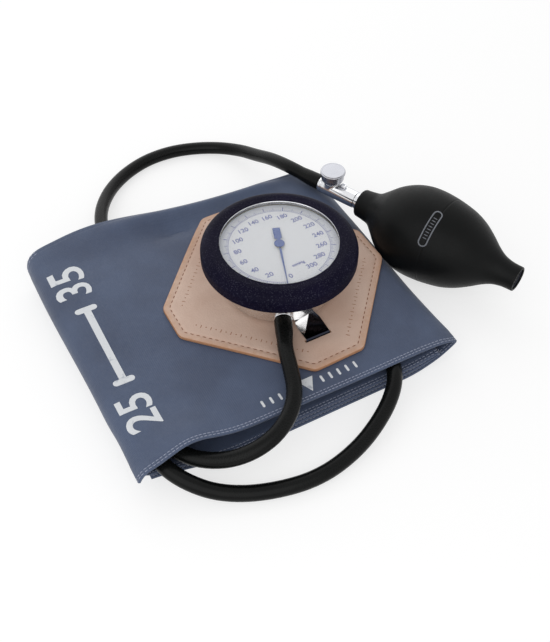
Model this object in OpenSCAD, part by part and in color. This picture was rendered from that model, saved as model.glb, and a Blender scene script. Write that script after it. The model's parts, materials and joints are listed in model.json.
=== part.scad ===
// Aneroid blood pressure gauge with a folded arm cuff, two hoses, a release valve and a bulb.
// Millimetres. Origin at the bottom centre of the folded cuff, +X along its front edge, +Y to the back.

/* [Cuff] */
// Width of the cuff cloth, along Y
cuff_w = 140; // [120:1:160]
// Length of the folded packet, along X
packet_len = 155; // [150:1:160]
// Length of the cuff cloth when it is laid out
cuff_len = 540; // [520:1:560]
// Thickness of the cloth with its pocket
cuff_t = 2.2; // [2:0.1:2.4]
// Height of the gap under the top sheet, in which the hose runs
hose_gap = 7.6; // [7.6:0.1:8.4]
// Thickness of the loop panel
loop_t = 0.7; // [0.4:0.1:1]
// Thickness of the hook panel
hook_t = 0.7; // [0.4:0.1:1]
// Gap between a folded sheet and the panel under it
ply_gap = 0.1; // [0.05:0.05:0.2]
// Length of the hook and loop panels, along X
panel_len = 60; // [40:1:66]
// Width of the hook and loop panels, along Y
panel_w = 110; // [80:1:118]
// Thickness of the flat bladder
bladder_t = 1; // [0.8:0.1:1.2]
// Width of the bladder, along Y
bladder_w = 120; // [100:1:128]
// Gap between the bladder and its pocket
pocket_gap = 0.1; // [0.05:0.05:0.2]
// How far the bladder runs to the right in the top sheet
bladder_right = 60; // [50:1:64]
// How far the bladder runs to the right in the sheet below the hoses
bladder_left_end = 20; // [0:1:60]

/* [Leather patch] */
// Place of the patch's centre, along X
patch_x = 21.5; // [20:0.5:22]
// Place of the patch's centre, along Y
patch_y = -1.8; // [-4:0.2:2]
// Distance from the centre to the four short sides
patch_reach = 55; // [52:0.5:55]
// Length of the four short sides
patch_short = 22.7; // [18:0.1:26]
// Thickness of the leather
patch_t = 2; // [1.6:0.1:2.4]
// Width of the slit in the leather
slit_w = 1.4; // [1.2:0.1:1.8]

/* [Retaining clip] */
// Thickness of the clip's strip
clip_t = 0.8; // [0.6:0.1:1]
// Width of the strip under the case
clip_w = 7; // [6:0.5:9]
// Width of the tongue that shows
tongue_w = 12; // [10:0.5:14]
// Distance from the gauge's centre to the tongue's tip
tongue_reach = 39; // [37:0.5:40]
// How far the tongue's lip reaches down into the leather
lip_depth = 1.6; // [1:0.1:1.6]

/* [Gauge case] */
// Place of the gauge's centre, along X
gauge_x = 23; // [22:0.5:24]
// Place of the gauge's centre, along Y
gauge_y = -4; // [-5:0.5:-3]
// Radius of the case's base
base_r = 27; // [26.8:0.1:27.4]
// Height from the case's bottom to the shoulder of its wide part
shoulder_h = 11; // [10.5:0.1:11.4]
// Outer radius of the case's wide part
case_r = 29.8; // [29.6:0.1:30.2]
// Wall of the case
case_wall = 1.2; // [1:0.1:1.3]
// Wall of the case's wide part, which carries the gasket
rim_wall = 1.6; // [1.4:0.1:1.8]
// Floor of the case
case_floor = 1.2; // [1:0.1:1.4]
// Width of the chamfer round the case's bottom edge
case_chamfer = 0.8; // [0.4:0.1:1]

/* [Glass, bezel and bumper] */
// Thickness of the glass
lens_t = 1.1; // [0.9:0.1:1.4]
// Thickness of the gasket under the glass
gasket_t = 0.5; // [0.4:0.1:0.8]
// Wall of the bezel ring
bezel_wall = 1.35; // [1.2:0.05:1.6]
// Thickness of the bezel's lip over the glass
bezel_lip_t = 0.5; // [0.4:0.1:0.8]
// How far the bezel's lip reaches in from the case's outside
bezel_reach = 2.6; // [2.2:0.1:3]
// Height of the bezel's skirt
bezel_h = 7.5; // [6:0.5:8]
// Thickness of the rubber bumper round the bezel
bumper_wall = 5; // [4.4:0.1:5.8]
// Height of the bumper
bumper_h = 10.4; // [9.6:0.1:11]
// Height of the bumper's straight outer wall
bumper_wall_h = 4.2; // [3.6:0.1:5]
// How far the bumper's crest stands over the bezel
bumper_crest = 0.4; // [0.2:0.1:0.8]

/* [Gauge stem] */
// Direction in which the stem leaves the case, in degrees from +X
stem_angle = -115; // [-117:0.5:-113]
// Radius of the stem's pipe
pipe_r = 1.7; // [1.4:0.1:1.9]
// Radius of the bore through the stem
stem_bore_r = 1; // [0.6:0.1:1.2]
// Radius of the stem's collar
collar_r = 4.2; // [3.8:0.1:4.4]
// Width of the stem's collar
collar_w = 2.2; // [1.6:0.1:2.4]
// Height of the stem's axis over the case floor
stem_h = 3; // [2.8:0.1:3.2]
// Radius of a hose barb's shank
barb_r = 2.2; // [2:0.1:2.4]
// Radius of a hose barb's ridges
ridge_r = 2.6; // [2.5:0.1:2.8]
// Length of a hose barb
barb_len = 9; // [8:0.5:10]

/* [Pressure capsule] */
// Gap between the diaphragms and the case's pillars
capsule_gap = 0.2; // [0.1:0.1:1]
// Thickness of a diaphragm's sheet
sheet_t = 0.25; // [0.2:0.05:0.3]
// Height of the diaphragms' waves
wave_h = 0.3; // [0.1:0.05:0.35]
// Number of waves in a diaphragm
waves = 4; // [3:1:5]
// Radius of the hub
hub_r = 5; // [4.5:0.1:5.4]
// Height of the hub
hub_h = 5.2; // [5.2:0.1:5.4]
// Radius of the hub's flange
hub_flange_r = 8.6; // [8:0.1:9]
// Height of half the capsule, from the hub to the rim
half_capsule_h = 2.2; // [2:0.1:2.25]
// How far the stud rises at full pressure
stud_rise = 1.2; // [1:0.05:1.2]

/* [Movement] */
// Thickness of the movement's plates
plate_t = 1; // [0.8:0.1:1.1]
// Gap between the base plate's edge and the case
base_plate_gap = 0.6; // [0.4:0.1:1]
// Gap between the case's pillars and its wall
pillar_gap = 0.8; // [0.4:0.1:1]
// Height from the case floor to the base plate
base_plate_h = 10.8; // [10.8:0.05:10.9]
// Height from the base plate to the top plate
plate_gap = 7.2; // [7.2:0.1:7.4]
// Module of the teeth
tooth_module = 0.3; // [0.29:0.005:0.3]
// Teeth of the pinion
pinion_teeth = 12; // [11:1:12]
// Teeth that a whole wheel in place of the sector would have
sector_teeth = 120; // [118:1:120]
// Sweep of the pointer, in degrees
pointer_sweep = 320; // [300:5:320]
// Length of the rocker's short arm, on the stud
short_arm = 3; // [2.8:0.1:3.2]
// Length of the rocker's long arm, on the sector's pin
long_arm = 3; // [2.8:0.1:3]
// Running clearance of a shaft in its hole, on the radius
run_gap = 0.05; // [0.03:0.01:0.08]

/* [Dial and pointer] */
// Thickness of the dial
dial_t = 0.5; // [0.4:0.1:0.6]
// Gap between the top plate and the dial
dial_gap = 0.6; // [0.55:0.05:0.8]
// Gap between the dial's edge and the case
dial_edge_gap = 0.6; // [0.3:0.1:1]
// Length of the pointer from its axis
pointer_len = 25.3; // [22:0.1:26]
// Length of the pointer's counterweight
tail_len = 10.7; // [8:0.1:12]
// Width of the pointer's counterweight
tail_w = 3.5; // [2.5:0.1:4]
// Thickness of the pointer
pointer_t = 0.3; // [0.2:0.05:0.4]
// Height of the pointer over the dial
pointer_gap = 0.6; // [0.5:0.05:0.7]
// Radius of the bush in the pointer
bush_r = 2.4; // [2:0.1:2.8]
// Thickness of the bush in the pointer
bush_t = 0.4; // [0.3:0.1:0.6]
// Gap between the pointer's bush and the glass
glass_gap = 0.5; // [0.3:0.1:1]
// Direction of the dial's zero, in degrees from +X
zero_angle = -110; // [-112:1:-108]

/* [Hoses] */
// Outer diameter of the hoses
hose_d = 7; // [6.5:0.1:7]
// Sides of a hose
hose_sides = 10; // [8:2:12]

/* [Valve] */
// Place of the bulb's neck, along X
neck_x = 85.7; // [85.7:0.1:87]
// Place of the bulb's neck, along Y
neck_y = 23.1; // [22:0.1:24]
// Height of the bulb's and the valve's axis
axis_z = 23; // [22.9:0.1:24]
// Direction from the neck to the hose, in degrees from +X
valve_angle = 113.6; // [112:0.2:115]
// Radius of the valve body
valve_r = 4.5; // [4.2:0.1:4.8]
// Length of the valve body that shows
valve_len = 25.3; // [24:0.1:26]
// Radius of the valve's bore
valve_bore_r = 1.2; // [1:0.1:1.4]
// Length of the spigot in the bulb's neck
spigot_len = 10; // [9.6:0.1:11]
// Radius of the spigot
spigot_r = 3.7; // [3.4:0.1:4]
// Distance from the neck to the knob's axis
knob_at = 18.4; // [17:0.1:19]
// Radius of the upright boss
boss_r = 4.2; // [4:0.1:4.4]
// Height of the boss over the valve's axis
boss_h = 4.9; // [4.8:0.1:5]
// Thickness of the gland on the boss
gland_t = 0.8; // [0.6:0.1:0.9]
// Radius of the knob
knob_r = 6.5; // [6:0.1:7]
// Height of the knob
knob_h = 6; // [5:0.1:7]
// Radius of the release screw
screw_r = 2; // [1.8:0.1:2.2]
// Rise of the release screw for each turn
screw_pitch = 0.7; // [0.5:0.05:0.7]

/* [Bulb] */
// Largest radius of the bulb
belly_r = 22.9; // [21:0.1:22.9]
// Length of the bulb
bulb_len = 87.7; // [86:0.1:90]
// Wall of the bulb
bulb_wall = 2.2; // [1.8:0.1:2.6]
// Radius of the plug in the bulb's tail
plug_r = 3.6; // [3.4:0.1:3.9]
// Length of the plug in the bulb's tail
plug_len = 9; // [9:0.1:10]
// Radius of the two check balls
ball_r = 1.4; // [1.2:0.05:1.5]
// Travel of the two check balls
ball_travel = 0.8; // [0.5:0.1:0.9]
// Radius of the hole that a ball closes
seat_hole_r = 0.8; // [0.6:0.05:0.9]

/* [Hidden] */
$fn = 64;

// Small amount by which a cut runs past the face that it cuts
cut = 0.5;
// Steps of a half turn in the cloth's folds
fold_steps = 12;

// Heights of the folded sheets: the bottom sheet, the two inner ones and the top sheet
sheet_b_z = cuff_t + loop_t + ply_gap;
sheet_a_z = sheet_b_z + cuff_t + hook_t + ply_gap;
sheet_a_top = sheet_a_z + cuff_t;
sheet_c_z = sheet_a_top + hose_gap;
packet_top = sheet_c_z + cuff_t;
mid_d = cuff_t / 2;
mid_b = sheet_b_z + cuff_t / 2;
mid_a = sheet_a_z + cuff_t / 2;
mid_c = sheet_c_z + cuff_t / 2;

// The three folds of the cloth: radius of the middle line and place of the centre
outer_fold_r = (mid_c - mid_d) / 2;
left_fold_r = (mid_c - mid_b) / 2;
inner_fold_r = (mid_a - mid_b) / 2;
outer_fold_x = packet_len / 2 - outer_fold_r - cuff_t / 2;
left_fold_x = left_fold_r + cuff_t / 2 - packet_len / 2;
inner_fold_setback = 0.5;
inner_fold_x = outer_fold_x - inner_fold_setback;
loose_end_inset = 5.5;
sheet_d_x = loose_end_inset - packet_len / 2;

// What is left of the cloth's length after the straight runs and folds makes the innermost sheet
used_len = (outer_fold_x - sheet_d_x) + (outer_fold_x - left_fold_x) + (inner_fold_x - left_fold_x)
    + PI * (outer_fold_r + left_fold_r + inner_fold_r);
sheet_a_x = inner_fold_x - (cuff_len - used_len);

// Leather, clip, case and capsule, from the bottom up
patch_top = packet_top + patch_t;
clip_x = gauge_x - 1;
case_z = patch_top + clip_t;
floor_z = case_z + case_floor;
shoulder_z = case_z + shoulder_h;
inner_r = case_r - rim_wall;
lens_inset = 0.4;
lens_r = case_r - lens_inset;
stem_z = floor_z + stem_h;
hub_top = floor_z + hub_h;
capsule_rim_z = hub_top + half_capsule_h;
capsule_top = 2 * capsule_rim_z - hub_top;
stud_gap = 0.05;

// Movement: heights of the plates, the dial and the pointer, and of the case's rim and glass over them
base_z = floor_z + base_plate_h;
base_top = base_z + plate_t;
top_plate_z = base_top + plate_gap;
dial_z = top_plate_z + plate_t + dial_gap;
pointer_z = dial_z + dial_t + pointer_gap;
lens_z = pointer_z + pointer_t + bush_t + glass_gap;
rim_z = lens_z - gasket_t;
bezel_top = lens_z + lens_t + bezel_lip_t;
bezel_r = case_r + run_gap + bezel_wall;
window_r = case_r - bezel_reach;
bumper_r = bezel_r + bumper_wall;
bumper_top = bezel_top + bumper_crest;
rocker_h = 1.2;
rocker_z = base_top + rocker_h;
rocker_half_swing = stud_rise / short_arm / 2 * 180 / PI;
shaft_r = 0.6;
tip_r = 0.6;
finger_tip_r = 0.65;
pin_r = 0.45;
pivot_r = 0.35;
arbor_r = 0.5;

// The toothed sector: its centre distance, swing, and the place of its arbor
sector_r = tooth_module * sector_teeth / 2;
pinion_r = tooth_module * pinion_teeth / 2;
centre_dist = sector_r + pinion_r;
sector_swing = pointer_sweep * pinion_teeth / sector_teeth;
finger_gap = run_gap;
sector_y = -short_arm - finger_tip_r - pin_r - finger_gap;
sector_x = sqrt(centre_dist * centre_dist - sector_y * sector_y);
mesh_angle = atan2(sector_y, sector_x);
pin_reach = long_arm * sin(rocker_half_swing) / sin(sector_swing / 2);
finger_x = sector_x - pin_reach;
sector_drop = 2.2;
sector_z = top_plate_z - sector_drop;
sector_t = 1;
pressure_angle = 20;
backlash = 0.03;
sector_addendum = tooth_module * 2 / 3;
pinion_addendum = tooth_module;
root_gap = 0.08;

// Pillars of the movement, measured from the gauge's centre
case_pillar_r = 1.4;
pillar_screw_r = 0.7;
base_plate_r = base_r - case_wall - base_plate_gap;
case_pillar_pcd = base_r - case_wall - pillar_gap - case_pillar_r;
capsule_r = case_pillar_pcd - case_pillar_r - capsule_gap;
case_pillar_angles = [30, 150, 270];
plate_pillars_at = [[16, 13], [14, -17], [-14, 0]];
plate_pillar_r = 1.8;
dial_feet_at = [[10, 6], [10, -9], [-9, 0]];

// Valve: heights over the table
valve_hose_end = valve_len + barb_len;
boss_top = axis_z + boss_h;
knob_gap = 0.2;
knob_z = boss_top + gland_t + knob_gap;
knob_pos = [neck_x + knob_at * cos(valve_angle), neck_y + knob_at * sin(valve_angle)];
throat_h = 2;
throat_z = axis_z + throat_h;
throat_r = 0.9;
needle_r = 0.8;
washer_r = 1.7;
washer_t = 0.6;

// Route of the hose from the gauge to the cuff
gauge_route = [
    [10.5, -30.7, 25], [7, -38.4, 25], [3.6, -45.7, 24.8], [0.6, -55.5, 23.8], [-2.6, -64.5, 22.6],
    [-7.4, -71.4, 21.4], [-14, -76.6, 20], [-21.8, -79.6, 18.2], [-30.4, -80.1, 16.2], [-38.8, -78.1, 14.2],
    [-46.2, -73.8, 12.4], [-52.4, -68, 11.2], [-57.2, -60.8, 10.6]
];
// Route of the hose from the valve, round the back, through the fold and along the front to the cuff
bulb_route = [
    [75.4, 46.7, 23], [71.5, 55.7, 23], [67, 68, 22.6], [64.5, 81.5, 18.8], [62.5, 96, 12.5], [59, 110, 7.5],
    [51, 121.5, 4.5], [39, 129, 3.5], [25, 132.5, 3.5], [10.5, 132, 3.5], [-3, 127.5, 3.5], [-15, 119.5, 4],
    [-24.5, 108.5, 5.5], [-31.5, 95.5, 7.5], [-35.5, 81.5, 9], [-36.2, 67.5, 10], [-31.5, 54, 10.5],
    [-22.5, 42.5, 11], [-13, 31, 11.5], [-3.5, 19.5, 12], [6, 8, 12], [15.5, -3.5, 12], [25, -15, 12],
    [34.5, -26.5, 12], [43, -38, 12], [48.2, -49.5, 12], [48.4, -62, 12], [43.2, -74, 11.8], [33, -83.6, 9.6],
    [18, -91.4, 6.4], [3, -95.5, 4.2], [-11, -96.5, 3.5], [-25, -94.3, 3.5], [-38.5, -89.5, 3.5],
    [-49.6, -83.4, 5], [-58, -76, 7.8], [-63.4, -67.6, 10], [-65.6, -58.4, 10.6]
];

// Colours of the materials
nylon_blue = [0.24, 0.29, 0.40];
leather_tan = [0.80, 0.62, 0.50];
rubber_navy = [0.12, 0.11, 0.20];
rubber_black = [0.07, 0.07, 0.07];
chrome_grey = [0.80, 0.80, 0.82];
brass_yellow = [0.75, 0.62, 0.32];
steel_grey = [0.62, 0.62, 0.64];
dial_white = [0.88, 0.88, 0.90];
ink_blue = [0.20, 0.30, 0.60];
glass_clear = [0.80, 0.90, 0.95, 0.35];

// Points of an arc round a centre, in the order of the angles
function arc(cx, cy, r, a0, a1, steps) =
    [for (i = [0 : steps]) let (a = a0 + (a1 - a0) * i / steps) [cx + r * cos(a), cy + r * sin(a)]];

// Points and inward normals of a half turn of the cloth, from angle a0 on
function fold(cx, cz, r, a0) =
    [for (i = [0 : fold_steps]) let (a = a0 + 180 * i / fold_steps)
        [cx + r * cos(a), cz + r * sin(a), -cos(a), -sin(a)]];

// Outline of a band of thickness t along points with normals
function band(path, t) = concat(
    [for (p = path) [p[0] + p[2] * t / 2, p[1] + p[3] * t / 2]],
    [for (i = [len(path) - 1 : -1 : 0]) let (p = path[i]) [p[0] - p[2] * t / 2, p[1] - p[3] * t / 2]]);

// Middle line of the whole cloth, from the loose end at the bottom to the innermost end
cloth_path = concat(
    [[sheet_d_x, mid_d, 0, 1]],
    fold(outer_fold_x, (mid_c + mid_d) / 2, outer_fold_r, -90),
    fold(left_fold_x, (mid_c + mid_b) / 2, left_fold_r, 90),
    fold(inner_fold_x, (mid_a + mid_b) / 2, inner_fold_r, -90),
    [[sheet_a_x, mid_a, 0, -1]]);

// Middle line of the bladder's stretch: the top sheet, the left fold and the sheet under the hoses
function bladder_path(extra) = concat(
    [[bladder_right + extra, mid_c, 0, -1]],
    fold(left_fold_x, (mid_c + mid_b) / 2, left_fold_r, 90),
    [[bladder_left_end + extra, mid_b, 0, 1]]);

module cloth_band(path, t, width)
    rotate([90, 0, 0]) linear_extrude(height = width, center = true) polygon(band(path, t));

module at_gauge(z) translate([gauge_x, gauge_y, z]) children();

// Children stand on the XY plane at the gauge's centre and turn to point along the stem
module along_stem() at_gauge(stem_z) rotate([0, 90, stem_angle]) children();

// Children's +Z runs from the bulb's neck towards the hose
module along_valve(u = 0) translate([neck_x, neck_y, axis_z]) rotate([0, 90, valve_angle])
    translate([0, 0, u]) children();

module at_knob(z) translate([knob_pos[0], knob_pos[1], z]) children();

module ring(r_out, r_in, h) difference() {
    cylinder(r = r_out, h = h);
    translate([0, 0, -cut]) cylinder(r = r_in, h = h + 2 * cut);
}

// Profile of a ridged barb, as radius and distance, from its root at z0 on
barb_ridges = 3;
barb_taper = 0.3;
function barb_profile(z0) = let (step = barb_len / (3 * barb_ridges + 1)) concat(
    [for (i = [0 : barb_ridges - 1], p = [[barb_r, 1], [ridge_r, 2], [barb_r, 3]])
        [p[0], z0 + step * (3 * i + p[1])]],
    [[barb_r - barb_taper, z0 + barb_len]]);

// Cuff

// A port takes the hose's end and stands at a set distance past it, in line with the last stretch
port_reach = 4.5;
port_overlap = 8;
nipple_r = 2.1;
port_bore_r = 1.1;
post_r = 2.4;
post_foot = 2.2;
port_flange_r = 3;
port_flange_t = 0.6;
function end_of(route) = route[len(route) - 1];
function end_angle(route) =
    let (a = route[len(route) - 2], b = end_of(route)) atan2(b[1] - a[1], b[0] - a[0]);

// Children stand upright on the port's axis, at height z over the table
module at_port(route, z) {
    end = end_of(route);
    angle = end_angle(route);
    translate([end[0] + port_reach * cos(angle), end[1] + port_reach * sin(angle), z]) children();
}

// Children's +Z runs along the hose's last stretch and meets the port's axis at height 0
module along_port(route) at_port(route, end_of(route)[2]) rotate([0, 90, end_angle(route)]) children();

module cuff_cover() color(nylon_blue) difference() {
    cloth_band(cloth_path, cuff_t, cuff_w);
    cloth_band(bladder_path(pocket_gap), bladder_t + 2 * pocket_gap, bladder_w + 2 * pocket_gap);
    for (route = [gauge_route, bulb_route])
        at_port(route, sheet_c_z - cut) cylinder(r = post_r + pocket_gap, h = cut + cuff_t / 2);
}

module bladder() color(rubber_black)
    cloth_band(bladder_path(0), bladder_t, bladder_w);

// An elbow: a nipple in the hose's end, and a post with a flange that rises to the bladder
module port(route) {
    axis_h = end_of(route)[2];
    top = mid_c - bladder_t / 2;
    nipple_start = -port_reach - port_overlap;
    difference() {
        union() {
            along_port(route) translate([0, 0, nipple_start]) cylinder(r = nipple_r, h = -nipple_start);
            at_port(route, axis_h - post_foot) cylinder(r = post_r, h = top - axis_h + post_foot);
            at_port(route, sheet_c_z - port_flange_t) cylinder(r = port_flange_r, h = port_flange_t);
        }
        along_port(route) translate([0, 0, nipple_start - cut])
            cylinder(r = port_bore_r, h = cut - nipple_start);
        at_port(route, axis_h) cylinder(r = port_bore_r, h = top - axis_h + cut);
    }
}

module gauge_port() color(rubber_black) port(gauge_route);
module bulb_port() color(rubber_black) port(bulb_route);

module loop_panel() color(nylon_blue)
    translate([sheet_d_x, -panel_w / 2, cuff_t]) cube([panel_len, panel_w, loop_t]);

module hook_panel() color(nylon_blue)
    translate([inner_fold_x - panel_len, -panel_w / 2, sheet_b_z + cuff_t])
    cube([panel_len, panel_w, hook_t]);

// Leather octagon with the slit that takes the tongue's lip
module leather_patch() color(leather_tan) difference() {
    translate([patch_x, patch_y, packet_top]) linear_extrude(height = patch_t)
        polygon([for (a = [0 : 90 : 270], y = [-patch_short / 2, patch_short / 2])
            [patch_reach * cos(a) - y * sin(a), patch_reach * sin(a) + y * cos(a)]]);
    translate([clip_x, gauge_y - tongue_reach + clip_t / 2, packet_top + patch_t / 2])
        cube([tongue_w + slit_w, slit_w, patch_t + 2 * cut], center = true);
}

// Gauge case and what closes it

// Clip outline, measured from the clip's middle and the gauge's centre
tongue_neck = 25;
tongue_wide = 31;
clip_back = 13;
rivet_r = 1;
rivet_at = [[-1, 11], [-1, -13]];
rivet_head_r = 1.8;
rivet_head_h = 0.5;

module retaining_clip() color(chrome_grey) difference() {
    translate([clip_x, gauge_y, patch_top]) {
        linear_extrude(height = clip_t) polygon([
            [-clip_w / 2, clip_back], [-clip_w / 2, -tongue_neck], [-tongue_w / 2, -tongue_wide],
            [-tongue_w / 2, -tongue_reach], [tongue_w / 2, -tongue_reach], [tongue_w / 2, -tongue_wide],
            [clip_w / 2, -tongue_neck], [clip_w / 2, clip_back]]);
        translate([-tongue_w / 2, -tongue_reach, -lip_depth]) cube([tongue_w, clip_t, lip_depth]);
    }
    for (p = rivet_at)
        at_gauge(patch_top - cut) translate(p) cylinder(r = rivet_r, h = clip_t + 2 * cut);
}

module clip_rivets() color(steel_grey)
    for (p = rivet_at) at_gauge(patch_top) translate(p) {
        cylinder(r = rivet_r, h = clip_t + case_floor);
        translate([0, 0, clip_t + case_floor]) cylinder(r = rivet_head_r, h = rivet_head_h);
    }

hub_screw_pcd = 6.8;
hub_screw_r = 0.8;
hub_screw_angles = [5, 125, 185];
screw_head_h = 0.5;
screw_head_r = 1.5;

module case() color(chrome_grey) difference() {
    at_gauge(0) rotate_extrude($fn = 128) polygon([
        [0, case_z], [base_r - case_chamfer, case_z], [base_r, case_z + case_chamfer], [base_r, shoulder_z],
        [case_r, shoulder_z], [case_r, rim_z], [inner_r, rim_z], [inner_r, shoulder_z + case_wall],
        [base_r - case_wall, shoulder_z + case_wall], [base_r - case_wall, floor_z], [0, floor_z]]);
    along_stem() cylinder(r = pipe_r + run_gap, h = base_r + cut);
    for (p = rivet_at) at_gauge(case_z - cut) translate(p) cylinder(r = rivet_r, h = case_floor + 2 * cut);
    for (a = hub_screw_angles) at_gauge(case_z - cut) rotate(a) translate([hub_screw_pcd, 0])
        cylinder(r = hub_screw_r, h = case_floor + 2 * cut);
    for (a = case_pillar_angles) at_gauge(case_z - cut) rotate(a) translate([case_pillar_pcd, 0])
        cylinder(r = pillar_screw_r, h = case_floor + 2 * cut);
}

module bezel_ring() color(chrome_grey) at_gauge(0) rotate_extrude($fn = 128) polygon([
    [case_r + run_gap, bezel_top - bezel_h], [bezel_r, bezel_top - bezel_h], [bezel_r, bezel_top],
    [window_r + bezel_lip_t / 2, bezel_top], [window_r, bezel_top - bezel_lip_t / 2],
    [window_r, lens_z + lens_t], [case_r + run_gap, lens_z + lens_t]]);

module lens() color(glass_clear) at_gauge(lens_z) cylinder(r = lens_r, h = lens_t, $fn = 128);

module lens_gasket() color(rubber_black) at_gauge(rim_z) ring(lens_r, inner_r, gasket_t);

// The bumper grips the bezel and laps over its lip
bumper_lip_r = window_r + 0.3;
bumper_lip_w = 0.6;
bumper_lip_drop = 0.1;
bumper_crest_r = bezel_r - 0.8;
bumper_foot = 1.2;
module bumper() color(rubber_navy) at_gauge(0) rotate_extrude($fn = 128) polygon(concat(
    [[bezel_r, bumper_top - bumper_h], [bumper_r - bumper_foot, bumper_top - bumper_h],
     [bumper_r, bumper_top - bumper_h + bumper_foot]],
    [for (a = [0 : 10 : 90])
        [bumper_crest_r + (bumper_r - bumper_crest_r) * cos(a),
         bumper_top - (bumper_h - bumper_foot - bumper_wall_h) * (1 - sin(a))]],
    [[bumper_lip_r + bumper_lip_w, bumper_top - bumper_lip_drop], [bumper_lip_r, bezel_top],
     [bezel_r, bezel_top]]));

// Stem: a pipe into the hub, a collar on the case and a barb for the hose
pipe_start = 3;
module stem() color(chrome_grey) along_stem() difference() {
    rotate_extrude() polygon(concat(
        [[0, pipe_start], [pipe_r, pipe_start], [pipe_r, base_r], [collar_r, base_r],
         [collar_r, base_r + collar_w], [barb_r, base_r + collar_w]],
        barb_profile(base_r + collar_w),
        [[0, base_r + collar_w + barb_len]]));
    translate([0, 0, pipe_start - cut]) cylinder(r = stem_bore_r, h = base_r + collar_w + barb_len);
}

module capsule_hub() color(brass_yellow) difference() {
    at_gauge(floor_z) {
        cylinder(r = hub_flange_r, h = case_floor);
        cylinder(r = hub_r, h = hub_h);
    }
    along_stem() cylinder(r = pipe_r + run_gap, h = hub_flange_r + cut);
    at_gauge(stem_z) cylinder(r = stem_bore_r, h = hub_h);
    for (a = hub_screw_angles) at_gauge(floor_z - cut) rotate(a) translate([hub_screw_pcd, 0])
        cylinder(r = hub_screw_r, h = case_floor + 2 * cut);
}

module hub_screws() color(steel_grey) for (a = hub_screw_angles)
    at_gauge(case_z) rotate(a) translate([hub_screw_pcd, 0]) {
        cylinder(r = hub_screw_r, h = 2 * case_floor);
        translate([0, 0, 2 * case_floor]) cylinder(r = screw_head_r, h = screw_head_h);
    }

// Pressure capsule

land_r = 5.4;
rim_land = 2;
capsule_steps = 32;

// Height of the lower sheet's middle over the hub, at a radius between the hub's land and the rim
function sheet_h(r) = let (s = (r - land_r) / (capsule_r - rim_land - land_r))
    sheet_t / 2 + (half_capsule_h - sheet_t) * s + wave_h * sin(360 * waves * s);
// Radii and heights along a sheet
sheet_line = concat(
    [for (i = [0 : capsule_steps]) let (r = land_r + (capsule_r - rim_land - land_r) * i / capsule_steps)
        [r, sheet_h(r)]],
    [[capsule_r, half_capsule_h - sheet_t / 2]]);

// Section of one diaphragm from r0 outwards; side is 1 for the lower sheet and -1 for the upper one
function sheet_section(r0, side) = let (
    line = concat([[r0, sheet_t / 2]], sheet_line),
    n = len(line))
    [for (i = [0 : 2 * n - 1])
        let (p = line[i < n ? i : 2 * n - 1 - i], off = (i < n ? -1 : 1) * sheet_t / 2)
        [p[0], capsule_rim_z + side * (p[1] + off - half_capsule_h)]];

module diaphragm_lower() color(brass_yellow)
    at_gauge(0) rotate_extrude() polygon(sheet_section(stem_bore_r, 1));
module diaphragm_upper() color(brass_yellow)
    at_gauge(0) rotate_extrude() polygon(sheet_section(0, -1));

stud_flange_r = 2.6;
stud_flange_t = 0.5;
stud_r = 1;
stud_top = rocker_z - short_arm * sin(rocker_half_swing) - tip_r - stud_gap;
module capsule_stud() color(brass_yellow) at_gauge(capsule_top + stud_gap) {
    cylinder(r = stud_flange_r, h = stud_flange_t);
    cylinder(r = stud_r, h = stud_top - capsule_top - stud_gap);
}

// Movement

module case_pillars() color(brass_yellow) for (a = case_pillar_angles)
    at_gauge(0) rotate(a) translate([case_pillar_pcd, 0]) {
        translate([0, 0, floor_z]) cylinder(r = case_pillar_r, h = base_plate_h);
        translate([0, 0, case_z]) cylinder(r = pillar_screw_r, h = case_floor);
    }

stud_window_r = stud_flange_r + 0.8;
module base_plate() color(brass_yellow) difference() {
    at_gauge(base_z) cylinder(r = base_plate_r, h = plate_t);
    at_gauge(base_z - cut) cylinder(r = stud_window_r, h = plate_t + 2 * cut);
    at_gauge(base_z - cut) translate([sector_x, sector_y])
        cylinder(r = arbor_r + run_gap, h = plate_t + 2 * cut);
}

module base_plate_screws() color(steel_grey) for (a = case_pillar_angles)
    at_gauge(base_top) rotate(a) translate([case_pillar_pcd, 0])
        cylinder(r = screw_head_r, h = screw_head_h);

module plate_pillars() color(brass_yellow) for (p = plate_pillars_at)
    at_gauge(base_top) translate(p) cylinder(r = plate_pillar_r, h = plate_gap);

plate_lug_w = 0.9;
module top_plate() color(brass_yellow) difference() {
    at_gauge(top_plate_z) {
        linear_extrude(height = plate_t)
            polygon([plate_pillars_at[2], plate_pillars_at[1], [sector_x, sector_y], plate_pillars_at[0]]);
        for (p = concat(plate_pillars_at, [[sector_x, sector_y]]))
            translate(p) cylinder(r = plate_pillar_r + plate_lug_w, h = plate_t);
    }
    at_gauge(top_plate_z - cut) cylinder(r = arbor_r + run_gap, h = plate_t + 2 * cut);
    at_gauge(top_plate_z - cut) translate([sector_x, sector_y])
        cylinder(r = arbor_r + run_gap, h = plate_t + 2 * cut);
}

module top_plate_screws() color(steel_grey) for (p = plate_pillars_at)
    at_gauge(top_plate_z + plate_t) translate(p) cylinder(r = screw_head_r, h = screw_head_h);

bracket_t = 0.8;
bracket_w = 2.8;
left_bracket_x = -6.5;
right_bracket_x = 14.4;
module rocker_bracket(x, hole_r) difference() {
    at_gauge(base_top) translate([x, -short_arm - bracket_w / 2]) cube([bracket_t, bracket_w, 2 * rocker_h]);
    at_gauge(rocker_z) translate([x - cut, -short_arm]) rotate([0, 90, 0])
        cylinder(r = hole_r, h = bracket_t + 2 * cut);
}

module rocker_brackets() color(brass_yellow) {
    rocker_bracket(left_bracket_x, pivot_r + run_gap);
    rocker_bracket(right_bracket_x, shaft_r + run_gap);
}

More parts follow.
